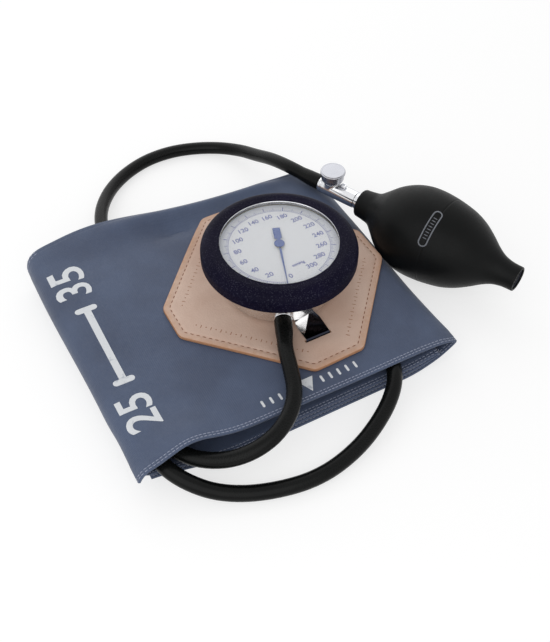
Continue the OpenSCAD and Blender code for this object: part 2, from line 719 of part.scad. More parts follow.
// Shaft along X with a short arm over the stud and a finger behind the sector's pin
arm_r = 0.35;
finger_hub_r = 0.9;
finger_hub_w = 1;
end_play = 0.2;
shaft_start = left_bracket_x + bracket_t + end_play;
module rocking_shaft() color(steel_grey) at_gauge(rocker_z) translate([0, -short_arm]) {
    translate([shaft_start, 0]) rotate([0, 90, 0])
        cylinder(r = shaft_r, h = finger_x + finger_hub_w / 2 - shaft_start);
    translate([left_bracket_x, 0]) rotate([0, 90, 0]) cylinder(r = pivot_r, h = bracket_t + 2 * end_play);
    translate([finger_x - finger_hub_w / 2, 0]) rotate([0, 90, 0])
        cylinder(r = finger_hub_r, h = finger_hub_w);
    rotate([-rocker_half_swing, 0, 0]) {
        rotate([-90, 0, 0]) cylinder(r = arm_r, h = short_arm);
        translate([0, short_arm]) sphere(r = tip_r);
        translate([finger_x, 0]) cylinder(r = arm_r, h = long_arm);
        translate([finger_x, 0, long_arm]) sphere(r = finger_tip_r);
    }
}

// Angle, from a tooth's middle, of its flank at radius r
function involute(a) = tan(a) * 180 / PI - a;
function flank(r, teeth) =
    let (pitch = tooth_module * teeth / 2, base = pitch * cos(pressure_angle))
    90 / teeth - backlash / pitch * 180 / PI + involute(pressure_angle)
        - involute(acos(base / max(r, base)));

// Points of one tooth round angle a, from root to tip and back to the root
flank_steps = 3;
function tooth(a, teeth, root, tip) =
    let (base = tooth_module * teeth / 2 * cos(pressure_angle), low = max(root, base),
         radii = [for (i = [0 : flank_steps]) low + (tip - low) * i / flank_steps],
         rising = concat([[root, flank(low, teeth)]], [for (r = radii) [r, flank(r, teeth)]]))
    concat(
        [for (p = rising) p[0] * [cos(a - p[1]), sin(a - p[1])]],
        [for (i = [len(rising) - 1 : -1 : 0]) let (p = rising[i]) p[0] * [cos(a + p[1]), sin(a + p[1])]]);

pinion_root = pinion_r - sector_addendum - root_gap;
pinion_tip = pinion_r + pinion_addendum;
sector_root = sector_r - pinion_addendum - root_gap;
sector_tip = sector_r + sector_addendum;
tooth_step = 360 / sector_teeth;
spare_teeth = 2;
sector_last = ceil(sector_swing / tooth_step) + spare_teeth;
rim_w = 2;
rim_in = sector_root - rim_w;
// Angle of the middle of the toothed rim, and of the tooth that is in mesh at rest, seen from the arbor
mesh_tooth = 180 + mesh_angle;
rim_mid = mesh_tooth - sector_swing / 2;
spoke_spread = 14;
spoke_w = 1.4;
sector_hub_r = 1.7;
sector_hub_h = 1.6;
pin_drop = 1.7;

module sector_gear() color(brass_yellow) at_gauge(sector_z) translate([sector_x, sector_y]) {
    linear_extrude(height = sector_t) union() {
        polygon(concat(
            [for (j = [sector_last : -1 : -spare_teeth], p = tooth(mesh_tooth - tooth_step * j, sector_teeth,
                sector_root, sector_tip)) p],
            arc(0, 0, rim_in, mesh_tooth + tooth_step * (spare_teeth + 0.5),
                mesh_tooth - tooth_step * (sector_last + 0.5), 12)));
        difference() {
            union() {
                circle(r = sector_hub_r);
                for (s = [-1, 1]) rotate(rim_mid + s * spoke_spread)
                    translate([0, -spoke_w / 2]) square([rim_in + rim_w / 2, spoke_w]);
            }
            circle(r = arbor_r);
        }
    }
    difference() {
        cylinder(r = sector_hub_r, h = sector_hub_h);
        translate([0, 0, -cut]) cylinder(r = arbor_r, h = sector_hub_h + 2 * cut);
    }
    rotate(180 - sector_swing / 2) translate([pin_reach, 0, -pin_drop])
        cylinder(r = pin_r, h = pin_drop + sector_t);
}

module sector_arbor() color(steel_grey) at_gauge(base_z) translate([sector_x, sector_y])
    cylinder(r = arbor_r, h = 2 * plate_t + plate_gap);

bridge_lift = 1.6;
bridge_z = rocker_z + bridge_lift;
bridge_t = 0.8;
bridge_w = 4;
bridge_reach = 8.5;
bridge_foot_r = 1.4;
module pinion_bridge() color(brass_yellow) difference() {
    union() {
        at_gauge(bridge_z) translate([-bridge_w / 2, -bridge_reach])
            cube([bridge_w, 2 * bridge_reach, bridge_t]);
        for (s = [-1, 1]) at_gauge(base_top) translate([0, s * (bridge_reach - bridge_w / 2)])
            cylinder(r = bridge_foot_r, h = bridge_z - base_top);
    }
    at_gauge(bridge_z - cut) cylinder(r = pivot_r + run_gap, h = bridge_t + 2 * cut);
}

collet_gap = 0.15;
collet_r = 1;
collet_z = bridge_z + bridge_t + collet_gap;
spring_w = 0.6;
spring_lift = 0.1;
shaft_gap = 0.1;
pinion_lap = 0.1;
arbor_stub = 0.2;
module pinion_arbor() color(steel_grey) {
    at_gauge(bridge_z) cylinder(r = pivot_r, h = bridge_t + collet_gap);
    at_gauge(collet_z) cylinder(r = collet_r, h = spring_w + 2 * spring_lift);
    at_gauge(collet_z) cylinder(r = shaft_r, h = top_plate_z - collet_z - shaft_gap);
    at_gauge(collet_z) cylinder(r = arbor_r, h = pointer_z + pointer_t - collet_z + arbor_stub);
    at_gauge(sector_z - pinion_lap) linear_extrude(height = sector_t + 2 * pinion_lap) polygon([
        for (i = [0 : pinion_teeth - 1])
            each tooth(mesh_angle + 360 / pinion_teeth * (i + 0.5), pinion_teeth, pinion_root, pinion_tip)]);
}

// Hairspring: an even spiral from the collet to its stud
spring_t = 0.15;
spring_turns = 5;
spring_in = 1.3;
spring_out = 6.4;
steps_per_turn = 24;
spiral_steps = steps_per_turn * spring_turns;
function spiral(off) = [for (i = [0 : spiral_steps])
    let (s = i / spiral_steps, a = 90 + 360 * spring_turns * (s - 1),
         r = spring_in + (spring_out - spring_in) * s + off)
    [r * cos(a), r * sin(a)]];
module hairspring() color(steel_grey) at_gauge(collet_z + spring_lift) linear_extrude(height = spring_w) {
    outer = spiral(spring_t / 2);
    inner = spiral(-spring_t / 2);
    polygon(concat(outer, [for (i = [spiral_steps : -1 : 0]) inner[i]]));
}

spring_stud_r = 0.5;
module hairspring_stud() color(brass_yellow) at_gauge(bridge_z + bridge_t)
    translate([0, spring_out + spring_t / 2 + spring_stud_r])
    cylinder(r = spring_stud_r, h = collet_gap + spring_w + 2 * spring_lift);

// Dial and pointer

foot_r = 1.5;
dial_hole_r = 1.8;
module dial() color(dial_white) difference() {
    union() {
        at_gauge(dial_z) cylinder(r = inner_r - dial_edge_gap, h = dial_t, $fn = 128);
        for (p = dial_feet_at) at_gauge(dial_z - dial_gap) translate(p) cylinder(r = foot_r, h = dial_gap);
    }
    at_gauge(dial_z - cut) cylinder(r = dial_hole_r, h = dial_t + 2 * cut);
}

pointer_root_w = 1.1;
pointer_tip_w = 0.35;
tail_start = 3;
tail_flare = 1;
module pointer() color(ink_blue) at_gauge(pointer_z) rotate(zero_angle)
    linear_extrude(height = pointer_t) difference() {
        polygon([
            [pointer_len, pointer_tip_w / 2], [0, pointer_root_w / 2], [-tail_start, pointer_root_w / 2],
            [-tail_start - tail_flare, tail_w / 2], [-tail_len, tail_w / 2], [-tail_len, -tail_w / 2],
            [-tail_start - tail_flare, -tail_w / 2], [-tail_start, -pointer_root_w / 2],
            [0, -pointer_root_w / 2], [pointer_len, -pointer_tip_w / 2]]);
        circle(r = arbor_r);
    }

module pointer_bush() color(ink_blue) at_gauge(pointer_z + pointer_t) difference() {
    cylinder(r = bush_r, h = bush_t);
    translate([0, 0, -cut]) cylinder(r = arbor_r, h = cut + arbor_stub);
}

// Hoses

function unit(v) = v / norm(v);
function heading(route, i) = unit(route[min(i + 1, len(route) - 1)] - route[max(i - 1, 0)]);
function ring_points(route, i) =
    let (t = heading(route, i), side = unit(cross(t, [0, 0, 1])), up = cross(side, t))
    [for (k = [0 : hose_sides - 1]) let (a = 360 * k / hose_sides)
        route[i] + hose_d / 2 * (cos(a) * side + sin(a) * up)];

module hose(route) {
    n = len(route);
    s = hose_sides;
    points = [for (i = [0 : n - 1], p = ring_points(route, i)) p];
    walls = [for (i = [0 : n - 2], k = [0 : s - 1]) let (a = i * s + k, b = i * s + (k + 1) % s)
        each [[a, b, a + s], [b, b + s, a + s]]];
    start = [for (k = [1 : s - 2]) [0, k + 1, k]];
    stop = [for (k = [1 : s - 2]) let (o = (n - 1) * s) [o, o + k, o + k + 1]];
    polyhedron(points = points, faces = concat(walls, start, stop));
}

module gauge_hose() color(rubber_black) hose(gauge_route);
module bulb_hose() color(rubber_black) hose(bulb_route);

// Valve

seat_t = 1.2;
seat_inset = 1.4;
seat_at = seat_inset - spigot_len;
chamber_gap = 0.6;
chamber_r = ball_r + chamber_gap;
retainer_t = 0.6;
ball_gap = 0.03;
// Distance from a seat's face to the middle of the ball that lies on it
ball_rise = sqrt(ball_r * ball_r - seat_hole_r * seat_hole_r) + ball_gap;
// Distance from a seat's face to the retainer that stops the ball
retainer_rise = ball_rise + ball_r + ball_travel + ball_gap;

seal_t = 0.9;
seal_r = 3;
seal_fit = 0.02;
// Where the needle's washer ends and the screw begins
screw_gap = 0.1;
screw_foot = throat_z + washer_t + screw_gap;
vent_r = 0.5;
plug_at = 11.2;
plug_depth = 0.6;
plug_collar = 0.2;
bleed_plug_r = 1.2;

module valve_body() color(chrome_grey) difference() {
    union() {
        along_valve() rotate_extrude() polygon(concat(
            [[0, -spigot_len], [spigot_r, -spigot_len], [spigot_r, 0], [valve_r, 0], [valve_r, valve_len],
             [barb_r, valve_len]],
            barb_profile(valve_len),
            [[0, valve_hose_end]]));
        at_knob(axis_z) cylinder(r = boss_r, h = boss_h);
    }
    along_valve(-spigot_len - cut)
        cylinder(r = chamber_r, h = cut + spigot_len + seat_at + seat_t + retainer_rise + retainer_t);
    along_valve(-spigot_len) cylinder(r = valve_bore_r, h = valve_hose_end + spigot_len + cut);
    at_knob(axis_z) cylinder(r = throat_r, h = boss_h);
    at_knob(throat_z) cylinder(r = screw_r + run_gap, h = boss_h);
    at_knob(boss_top - seal_t) cylinder(r = seal_r, h = seal_t + cut);
    at_knob(screw_foot + vent_r / 2) rotate([0, 90, valve_angle + 90]) cylinder(r = vent_r, h = boss_r + cut);
    along_valve(plug_at) rotate([0, -90, 0]) translate([0, 0, valve_r - plug_depth])
        cylinder(r = bleed_plug_r, h = valve_r);
}

module screw_seal() color(rubber_black)
    at_knob(boss_top - seal_t) ring(seal_r - seal_fit, screw_r + run_gap, seal_t);

module valve_gland() color(chrome_grey) at_knob(boss_top) ring(boss_r, screw_r + run_gap, gland_t);

// The knob is a plain disc with a turned edge and sits on the screw's head
knob_edge = 0.5;
rim_h = 1.25;
screw_grip = 3;
module valve_knob() color(chrome_grey) difference() {
    at_knob(knob_z) rotate_extrude() polygon([
        [0, 0], [knob_r - 2 * knob_edge, 0], [knob_r - knob_edge, knob_edge],
        [knob_r - knob_edge, knob_h - rim_h - knob_edge / 2], [knob_r, knob_h - rim_h],
        [knob_r, knob_h - knob_edge / 2], [knob_r - knob_edge / 2, knob_h], [0, knob_h]]);
    at_knob(knob_z - cut) cylinder(r = screw_r, h = screw_grip + cut);
}

// The needle doesn't turn: its tip plugs the throat and its washer lies on the throat's rim
needle_tip = 0.7;
needle_grip = 0.9;
needle_end_gap = 0.2;
module release_screw() color(steel_grey) difference() {
    at_knob(screw_foot) cylinder(r = screw_r, h = knob_z + screw_grip - screw_foot);
    at_knob(screw_foot - cut) cylinder(r = needle_r + run_gap, h = cut + needle_grip + needle_end_gap);
}

module release_needle() color(brass_yellow) {
    at_knob(throat_z - needle_tip)
        cylinder(r = needle_r, h = screw_foot + needle_grip - throat_z + needle_tip);
    at_knob(throat_z + ball_gap) cylinder(r = washer_r, h = washer_t);
}

// Small domed plug on top of the body
module bleed_plug() color(chrome_grey) along_valve(plug_at) rotate([0, -90, 0]) {
    translate([0, 0, valve_r - plug_depth]) cylinder(r = bleed_plug_r, h = plug_depth + plug_collar);
    translate([0, 0, valve_r + plug_collar]) intersection() {
        sphere(r = bleed_plug_r);
        cylinder(r = bleed_plug_r, h = bleed_plug_r);
    }
}

module seat() difference() {
    cylinder(r = chamber_r, h = seat_t);
    translate([0, 0, -cut]) cylinder(r = seat_hole_r, h = seat_t + 2 * cut);
}

// A washer with a cross cut, so that air passes a ball that lies against it
retainer_rim = 0.5;
retainer_slot_w = 0.7;
module retainer() difference() {
    cylinder(r = chamber_r, h = retainer_t);
    for (a = [0, 90])
        rotate(a) cube([2 * (chamber_r - retainer_rim), retainer_slot_w, 4 * retainer_t], center = true);
}

module outlet_seat() color(brass_yellow) along_valve(seat_at) seat();
module outlet_ball() color(steel_grey) along_valve(seat_at + seat_t + ball_rise) sphere(r = ball_r);
module outlet_retainer() color(brass_yellow) along_valve(seat_at + seat_t + retainer_rise) retainer();

// Bulb

// Distance from the neck and radius, along the bulb's outline
bulb_line = [
    [0, 7.2], [5, 7.8], [9, 8.8], [13, 12], [18, 16.4], [24, 20], [30.5, 22.2], [37, 22.9], [44, 22.6],
    [51, 21.6], [58, 19.9], [64, 17.3], [70, 13.5], [75, 9.9], [79, 7.7], [83, 6.6], [87.7, 6.2]
];
line_len = max([for (p = bulb_line) p[0]]);
line_r = max([for (p = bulb_line) p[1]]);
curve_steps = 3;
// Smooth curve through the outline's points, scaled to the bulb's own length and radius
function outline_point(i) = let (p = bulb_line[max(0, min(i, len(bulb_line) - 1))])
    [p[0] * bulb_len / line_len, p[1] * belly_r / line_r];
function smooth(i, t) = let (a = outline_point(i - 1), b = outline_point(i), c = outline_point(i + 1),
        d = outline_point(i + 2))
    (2 * b + (c - a) * t + (2 * a - 5 * b + 4 * c - d) * t * t + (3 * b - a - 3 * c + d) * t * t * t) / 2;
bulb_curve = concat(
    [for (i = [0 : len(bulb_line) - 2], k = [0 : curve_steps - 1]) smooth(i, k / curve_steps)],
    [outline_point(len(bulb_line) - 1)]);
// The air space starts past the valve's spigot and ends before the inlet in the tail
fitting_gap = 0.5;
fitting_lap = 2;
neck_fit = 0.03;
cavity_start = spigot_len + fitting_gap;
cavity_end = bulb_len - plug_len - fitting_gap;
cavity = [for (p = bulb_curve) if (p[0] > cavity_start && p[0] < cavity_end)
    [max(p[1] - bulb_wall, plug_r), -p[0]]];

module bulb() color(rubber_black) along_valve() difference() {
    rotate_extrude($fn = 96)
        polygon(concat([[0, 0]], [for (p = bulb_curve) [p[1], -p[0]]], [[0, -bulb_len]]));
    rotate_extrude($fn = 96) polygon(concat([[0, cavity[0][1]]], cavity, [[0, cavity[len(cavity) - 1][1]]]));
    translate([0, 0, -cavity_start - fitting_lap])
        cylinder(r = spigot_r + neck_fit, h = cavity_start + fitting_lap + cut);
    translate([0, 0, -bulb_len - cut]) cylinder(r = plug_r + neck_fit, h = plug_len + fitting_lap + cut);
}

// Inlet in the tail: the air comes in through the filter and lifts the ball off its seat
plug_flange_r = 5;
plug_flange_t = 1;
tail_at = -bulb_len;
inlet_seat_t = 2.6;
inlet_seat_at = tail_at + inlet_seat_t;
filter_r = 2.4;
filter_t = 0.5;
module inlet_body() color(steel_grey) difference() {
    union() {
        along_valve(tail_at) cylinder(r = plug_r, h = plug_len);
        along_valve(tail_at - plug_flange_t) cylinder(r = plug_flange_r, h = plug_flange_t);
    }
    along_valve(tail_at - plug_flange_t - cut) cylinder(r = seat_hole_r, h = plug_len);
    along_valve(inlet_seat_at) cylinder(r = chamber_r, h = plug_len);
    along_valve(tail_at - plug_flange_t - cut) cylinder(r = filter_r, h = filter_t + cut);
}

module inlet_ball() color(steel_grey) along_valve(inlet_seat_at + ball_rise) sphere(r = ball_r);
module inlet_retainer() color(brass_yellow) along_valve(inlet_seat_at + retainer_rise) retainer();

filter_hole_r = 0.35;
filter_hole_pcd = 1.4;
filter_holes = 6;
module inlet_filter() color(steel_grey) along_valve(tail_at - plug_flange_t) difference() {
    cylinder(r = filter_r, h = filter_t);
    translate([0, 0, -cut]) cylinder(r = filter_hole_r, h = filter_t + 2 * cut);
    for (i = [1 : filter_holes]) rotate(360 * i / filter_holes) translate([filter_hole_pcd, 0, -cut])
        cylinder(r = filter_hole_r, h = filter_t + 2 * cut);
}

cuff_cover();
bladder();
gauge_port();
bulb_port();
loop_panel();
hook_panel();
leather_patch();
retaining_clip();
clip_rivets();
case();
bezel_ring();
lens();
lens_gasket();
bumper();
stem();
capsule_hub();
hub_screws();
diaphragm_lower();
diaphragm_upper();
capsule_stud();
case_pillars();
base_plate();
base_plate_screws();
plate_pillars();
top_plate();
top_plate_screws();
rocker_brackets();
rocking_shaft();
sector_gear();
sector_arbor();
pinion_bridge();
pinion_arbor();
hairspring();
hairspring_stud();
dial();
pointer();
pointer_bush();
gauge_hose();
bulb_hose();
valve_body();
valve_gland();
valve_knob();
release_screw();
release_needle();
screw_seal();
bleed_plug();
outlet_seat();
outlet_ball();
outlet_retainer();
bulb();
inlet_body();
inlet_ball();
inlet_retainer();
inlet_filter();
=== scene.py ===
# Looks of a blood pressure gauge with a folded arm cuff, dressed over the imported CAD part.
# Lengths are millimetres in the CAD part's frame and become metres where a mesh is made.

import json
import math

import bmesh
import bpy
import numpy as np
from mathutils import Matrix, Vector


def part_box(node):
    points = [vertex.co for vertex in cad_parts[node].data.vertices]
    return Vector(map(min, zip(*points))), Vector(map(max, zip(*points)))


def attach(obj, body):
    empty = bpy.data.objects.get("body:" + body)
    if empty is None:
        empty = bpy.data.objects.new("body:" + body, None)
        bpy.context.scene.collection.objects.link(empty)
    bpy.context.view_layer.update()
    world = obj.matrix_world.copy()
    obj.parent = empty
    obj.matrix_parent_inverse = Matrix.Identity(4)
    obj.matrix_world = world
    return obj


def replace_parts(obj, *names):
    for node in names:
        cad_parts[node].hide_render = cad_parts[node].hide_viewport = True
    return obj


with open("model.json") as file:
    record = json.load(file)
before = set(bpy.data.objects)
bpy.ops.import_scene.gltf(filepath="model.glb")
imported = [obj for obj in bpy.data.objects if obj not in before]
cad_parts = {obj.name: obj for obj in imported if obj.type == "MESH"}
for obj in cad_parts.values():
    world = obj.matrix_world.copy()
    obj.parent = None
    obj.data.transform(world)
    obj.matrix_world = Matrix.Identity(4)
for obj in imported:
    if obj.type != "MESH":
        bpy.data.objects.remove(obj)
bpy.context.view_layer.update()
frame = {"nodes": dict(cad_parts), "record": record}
nodes = frame["nodes"]

MM = 0.001
X_AXIS, Y_AXIS, Z_AXIS = np.eye(3)


def box_of(node):
    """Lowest and highest corner of a CAD node."""
    low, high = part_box(node)
    return np.array(low) / MM, np.array(high) / MM


def plan_centre(node):
    """Middle of a CAD node seen from above, at height 0."""
    low, high = box_of(node)
    return (low + high) / 2 * (X_AXIS + Y_AXIS)


def linear(red, green, blue):
    """Linear colour of a screen colour given as 0 to 255."""
    parts = [c / 255 for c in (red, green, blue)]
    return [c / 12.92 if c < 0.04 else ((c + 0.055) / 1.055) ** 2.4 for c in parts] + [1.0]


def unit(vector):
    return vector / np.linalg.norm(vector)


def ease(value, start, end):
    """0 before start, 1 after end, and smooth between them."""
    t = np.clip((value - start) / (end - start), 0, 1)
    return t * t * (3 - 2 * t)


def bell(value, middle, width):
    return np.exp(-(((value - middle) / width) ** 2))


def round_edge(share):
    """Height of a rounded edge, from 0 at its rim to 1 further in."""
    return np.sqrt(np.clip(1 - (1 - np.clip(share, 0, 1)) ** 2, 0, 1))


def distance_along(points):
    """Distance of each point from the first, along the line through them."""
    return np.concatenate([[0], np.cumsum(np.linalg.norm(np.diff(points, axis=0), axis=1))])


def corner_arc(start, corner, end, steps=4):
    """Points from start to end that curve round the corner."""
    shares = np.linspace(0, 1, steps + 1)
    return [(1 - t) ** 2 * start + 2 * t * (1 - t) * corner + t * t * end for t in shares]


def add_object(name, data):
    made = bpy.data.objects.new(name, data)
    bpy.context.scene.collection.objects.link(made)
    return made


# Camera

PHOTO_HEIGHT = 642
FOCAL_PIXELS = 837
SENSOR = 36
CAMERA_AT = (-0.1102, -0.2472, 0.307)
CAMERA_TILT = 41.3
CAMERA_TURN = -28.3


def add_camera():
    data = bpy.data.cameras.new("camera")
    data.sensor_width = SENSOR
    data.lens = SENSOR * FOCAL_PIXELS / PHOTO_HEIGHT
    data.clip_start = 0.01
    camera = add_object("camera", data)
    camera.location = CAMERA_AT
    camera.rotation_euler = (math.radians(CAMERA_TILT), 0, math.radians(CAMERA_TURN))
    bpy.context.scene.camera = camera


add_camera()


# Materials

PAINTS = {}


class Wiring:
    """The nodes of a material or world under construction."""

    def __init__(self, owner):
        owner.use_nodes = True
        self.tree = owner.node_tree
        self.nodes = self.tree.nodes

    def add(self, kind, settings=None, **inputs):
        made = self.nodes.new(kind)
        for key, value in (settings or {}).items():
            setattr(made, key, value)
        for key, value in inputs.items():
            self.put(made, key.replace("_", " "), value)
        return made

    def put(self, target, name, value):
        """Sets or links an input, found by its name or number."""
        socket = target.inputs[int(name)] if name.isdigit() else target.inputs[name]
        if isinstance(value, bpy.types.NodeSocket):
            self.tree.links.new(value, socket)
        else:
            socket.default_value = value

    def math(self, operation, first, second=0.5):
        return self.add("ShaderNodeMath", {"operation": operation}, **{"0": first, "1": second}).outputs[0]

    def length(self, vector):
        return self.add("ShaderNodeVectorMath", {"operation": "LENGTH"}, **{"0": vector}).outputs["Value"]

    def seen(self):
        """1 for what the camera, metal and glass see, and 0 for the light that falls on the object."""
        rays = self.add("ShaderNodeLightPath").outputs
        either = self.math("MAXIMUM", rays["Is Camera Ray"], rays["Is Glossy Ray"])
        return self.math("MAXIMUM", either, rays["Is Transmission Ray"])


class Paint(Wiring):
    """A material with object coordinates in metres, found again in PAINTS by its name."""

    def __init__(self, name):
        self.material = PAINTS[name] = bpy.data.materials.new(name)
        super().__init__(self.material)
        self.shader = self.nodes["Principled BSDF"]
        self.place = self.add("ShaderNodeTexCoord").outputs["Object"]

    def set(self, **inputs):
        for key, value in inputs.items():
            self.put(self.shader, key.replace("_", " "), value)

    def stretched(self, x, y, z):
        """Object coordinates scaled along each axis, for brushed or drawn grain."""
        return self.add("ShaderNodeMapping", Vector=self.place, Scale=(x, y, z)).outputs[0]

    def noise(self, scale, detail=2.0, place=None, distortion=0.0):
        return self.add("ShaderNodeTexNoise", Vector=place or self.place, Scale=scale, Detail=detail,
                        Distortion=distortion).outputs["Fac"]

    def cells(self, scale):
        return self.add("ShaderNodeTexVoronoi", Vector=self.place, Scale=scale).outputs["Distance"]

    def waves(self, scale, direction, place=None, distortion=0.0):
        return self.add("ShaderNodeTexWave", {"bands_direction": direction}, Vector=place or self.place,
                        Scale=scale, Distortion=distortion).outputs["Fac"]

    def fit(self, value, low, high, out_low=0.0, out_high=1.0):
        """Maps low..high to out_low..out_high and clips."""
        return self.add("ShaderNodeMapRange", Value=value, From_Min=low, From_Max=high, To_Min=out_low,
                        To_Max=out_high).outputs[0]

    def mix(self, share, first, second):
        """Blends two colours. Three numbers are a screen colour, and four are linear."""
        made = self.add("ShaderNodeMix", {"data_type": "RGBA"})
        for name, value in (("0", share), ("6", first), ("7", second)):
            screen = isinstance(value, tuple) and len(value) == 3
            self.put(made, name, linear(*value) if screen else value)
        return made.outputs[2]

    def bump(self, *layers):
        """Stacks bumps given as (height, depth in millimetres)."""
        normal = None
        for height, depth in layers:
            made = self.add("ShaderNodeBump", Height=height, Distance=depth * MM, Strength=1.0)
            if normal is not None:
                self.put(made, "Normal", normal)
            normal = made.outputs["Normal"]
        self.put(self.shader, "Normal", normal)


def cloth_paint(name, light, dark, sheen):
    """Fine plain weave along the cloth's own flat coordinates, which are in metres."""
    paint = Paint(name)
    flat = paint.add("ShaderNodeUVMap", {"uv_map": "flat"}).outputs[0]
    threads_per_metre = 360.0
    warp = paint.waves(threads_per_metre, "X", flat, 0.6)
    weft = paint.waves(threads_per_metre, "Y", flat, 0.6)
    weave = paint.math("MULTIPLY", warp, weft)
    mottle = paint.noise(42.0, 4.0)
    fine = paint.noise(900.0, 2.0)
    body = paint.mix(paint.fit(mottle, 0.35, 0.65), light, dark)
    threads = paint.mix(paint.fit(weave, 0.0, 1.0, 0.0, 0.30), body, dark)
    paint.set(Base_Color=paint.mix(paint.fit(fine, 0.4, 0.7, 0.0, 0.12), threads, light),
              Roughness=paint.fit(fine, 0.3, 0.7, 0.62, 0.78), Sheen_Weight=sheen, Sheen_Roughness=0.45)
    paint.bump((paint.noise(120.0, 3.0), 0.10), (weave, 0.05))


def thread_paint(name, colour, shade):
    paint = Paint(name)
    twist = paint.waves(900.0, "DIAGONAL", None, 1.0)
    paint.set(Base_Color=paint.mix(twist, colour, shade), Roughness=0.7, Sheen_Weight=0.3)
    paint.bump((twist, 0.05))


def print_paint():
    """White ink on nylon, a little worn where it is rubbed."""
    paint = Paint("white_print")
    worn = paint.fit(paint.noise(260.0, 5.0), 0.62, 0.74)
    paint.set(Base_Color=paint.mix(worn, (224, 227, 231), (178, 184, 194)), Roughness=0.6)
    paint.bump((paint.noise(700.0, 3.0), 0.04))


def leather_paint():
    """Pinkish tan leather with pores, darker towards its cut edge. The flat map holds the inset."""
    paint = Paint("tan_leather")
    flat = paint.add("ShaderNodeUVMap", {"uv_map": "flat"}).outputs[0]
    inset = paint.add("ShaderNodeSeparateXYZ", Vector=flat).outputs[0]
    cloudy = paint.noise(38.0, 5.0, None, 0.4)
    pores = paint.cells(1500.0)
    grain = paint.noise(420.0, 6.0)
    body = paint.mix(paint.fit(cloudy, 0.3, 0.7), (216, 190, 174), (198, 166, 148))
    edge = paint.fit(inset, 0.0, 0.0042, 1.0, 0.0)
    rim = paint.mix(paint.math("MULTIPLY", edge, grain), body, (190, 142, 106))
    paint.set(Base_Color=paint.mix(paint.fit(pores, 0.0, 0.35, 0.22, 0.0), rim, (150, 104, 80)),
              Roughness=paint.fit(grain, 0.3, 0.7, 0.50, 0.68), Specular_IOR_Level=0.35)
    paint.bump((cloudy, 0.25), (grain, 0.10), (pores, 0.05))


def cut_leather_paint():
    paint = Paint("cut_leather")
    fibres = paint.noise(500.0, 5.0, paint.stretched(1.0, 1.0, 4.0))
    paint.set(Base_Color=paint.mix(fibres, (196, 148, 112), (160, 110, 78)), Roughness=0.85)
    paint.bump((fibres, 0.18))


def rubber_paint(name, colour, pale, rough, gloss=0.3, speckle=0.0):
    """Moulded rubber: fine skin, faint bloom and, on the bumper, pale flecks that are partly painted glints
    of its speckled sheen.
    """
    paint = Paint(name)
    bloom = paint.fit(paint.noise(55.0, 5.0), 0.35, 0.75, 0.0, 0.5)
    skin = paint.noise(1400.0, 3.0)
    body = paint.mix(bloom, colour, pale)
    if speckle:
        # Pale flecks in the rubber, partly painted glints of the bumper's speckled sheen
        flecks_and_glints = paint.fit(paint.noise(1900.0, 1.0), 0.58, 0.70, 0.0, speckle)
        body = paint.mix(flecks_and_glints, body, (104, 104, 124))
    paint.set(Base_Color=body, Roughness=paint.fit(skin, 0.3, 0.7, rough - 0.07, rough + 0.08),
              Specular_IOR_Level=gloss)
    paint.bump((paint.noise(160.0, 3.0), 0.05), (skin, 0.03))


def metal_paint(name, colour, dark, rough, grain=(1.0, 1.0, 1.0), depth=0.004):
    """Plated or machined metal with fine scratches and slight staining."""
    paint = Paint(name)
    scratches = paint.noise(900.0, 4.0, paint.stretched(*grain))
    stain = paint.fit(paint.noise(90.0, 5.0), 0.45, 0.8, 0.0, 0.35)
    paint.set(Base_Color=paint.mix(stain, colour, dark), Metallic=1.0,
              Roughness=paint.fit(scratches, 0.3, 0.75, rough, rough + 0.10))
    paint.bump((scratches, depth))


def dial_paint(centre):
    """Silver-white dial, with painted shade round its edge under the bezel."""
    paint = Paint("dial_white")
    offset = paint.add("ShaderNodeVectorMath", {"operation": "SUBTRACT"},
                       **{"0": paint.place, "1": tuple(centre * MM)}).outputs[0]
    # Painted shade: the dial darkens towards the bezel's wall
    shade = paint.fit(paint.length(offset), 0.0225, 0.0278, 0.0, 0.75)
    grain = paint.noise(2500.0, 2.0)
    face = paint.mix(paint.fit(grain, 0.3, 0.7, 0.0, 0.25), (192, 190, 191), (180, 178, 181))
    paint.set(Base_Color=paint.mix(shade, face, (150, 152, 164)), Roughness=0.5)
    paint.bump((grain, 0.006))


def ink_paint(name, colour, shade):
    paint = Paint(name)
    paint.set(Base_Color=paint.mix(paint.noise(1500.0, 2.0), colour, shade), Roughness=0.45)


def glass_paint():
    """Flat crystal: lamps pass through it, so the dial under it stays bright."""
    paint = Paint("glass")
    smear = paint.fit(paint.noise(60.0, 4.0), 0.4, 0.8, 0.0, 0.05)
    paint.set(Base_Color=(0.97, 0.99, 1.0, 1.0), Roughness=smear, IOR=1.45, Transmission_Weight=1.0)
    clear = paint.add("ShaderNodeBsdfTransparent", Color=(0.97, 0.98, 0.99, 1.0)).outputs[0]
    shadow = paint.add("ShaderNodeLightPath").outputs["Is Shadow Ray"]
    both = paint.add("ShaderNodeMixShader", **{"0": shadow, "1": paint.shader.outputs[0], "2": clear})
    paint.put(paint.nodes["Material Output"], "Surface", both.outputs[0])


def pile_paint(name, light, dark, scale, depth):
    """Loop pile or a field of hooks, as bumps on a woven ground."""
    paint = Paint(name)
    tufts = paint.cells(scale)
    paint.set(Base_Color=paint.mix(paint.fit(tufts, 0.0, 0.6), light, dark), Roughness=0.8, Sheen_Weight=0.4)
    paint.bump((tufts, depth))


gauge_low, gauge_high = box_of("bumper")
GAUGE = plan_centre("bumper")
dial_top = box_of("dial")[1][2]

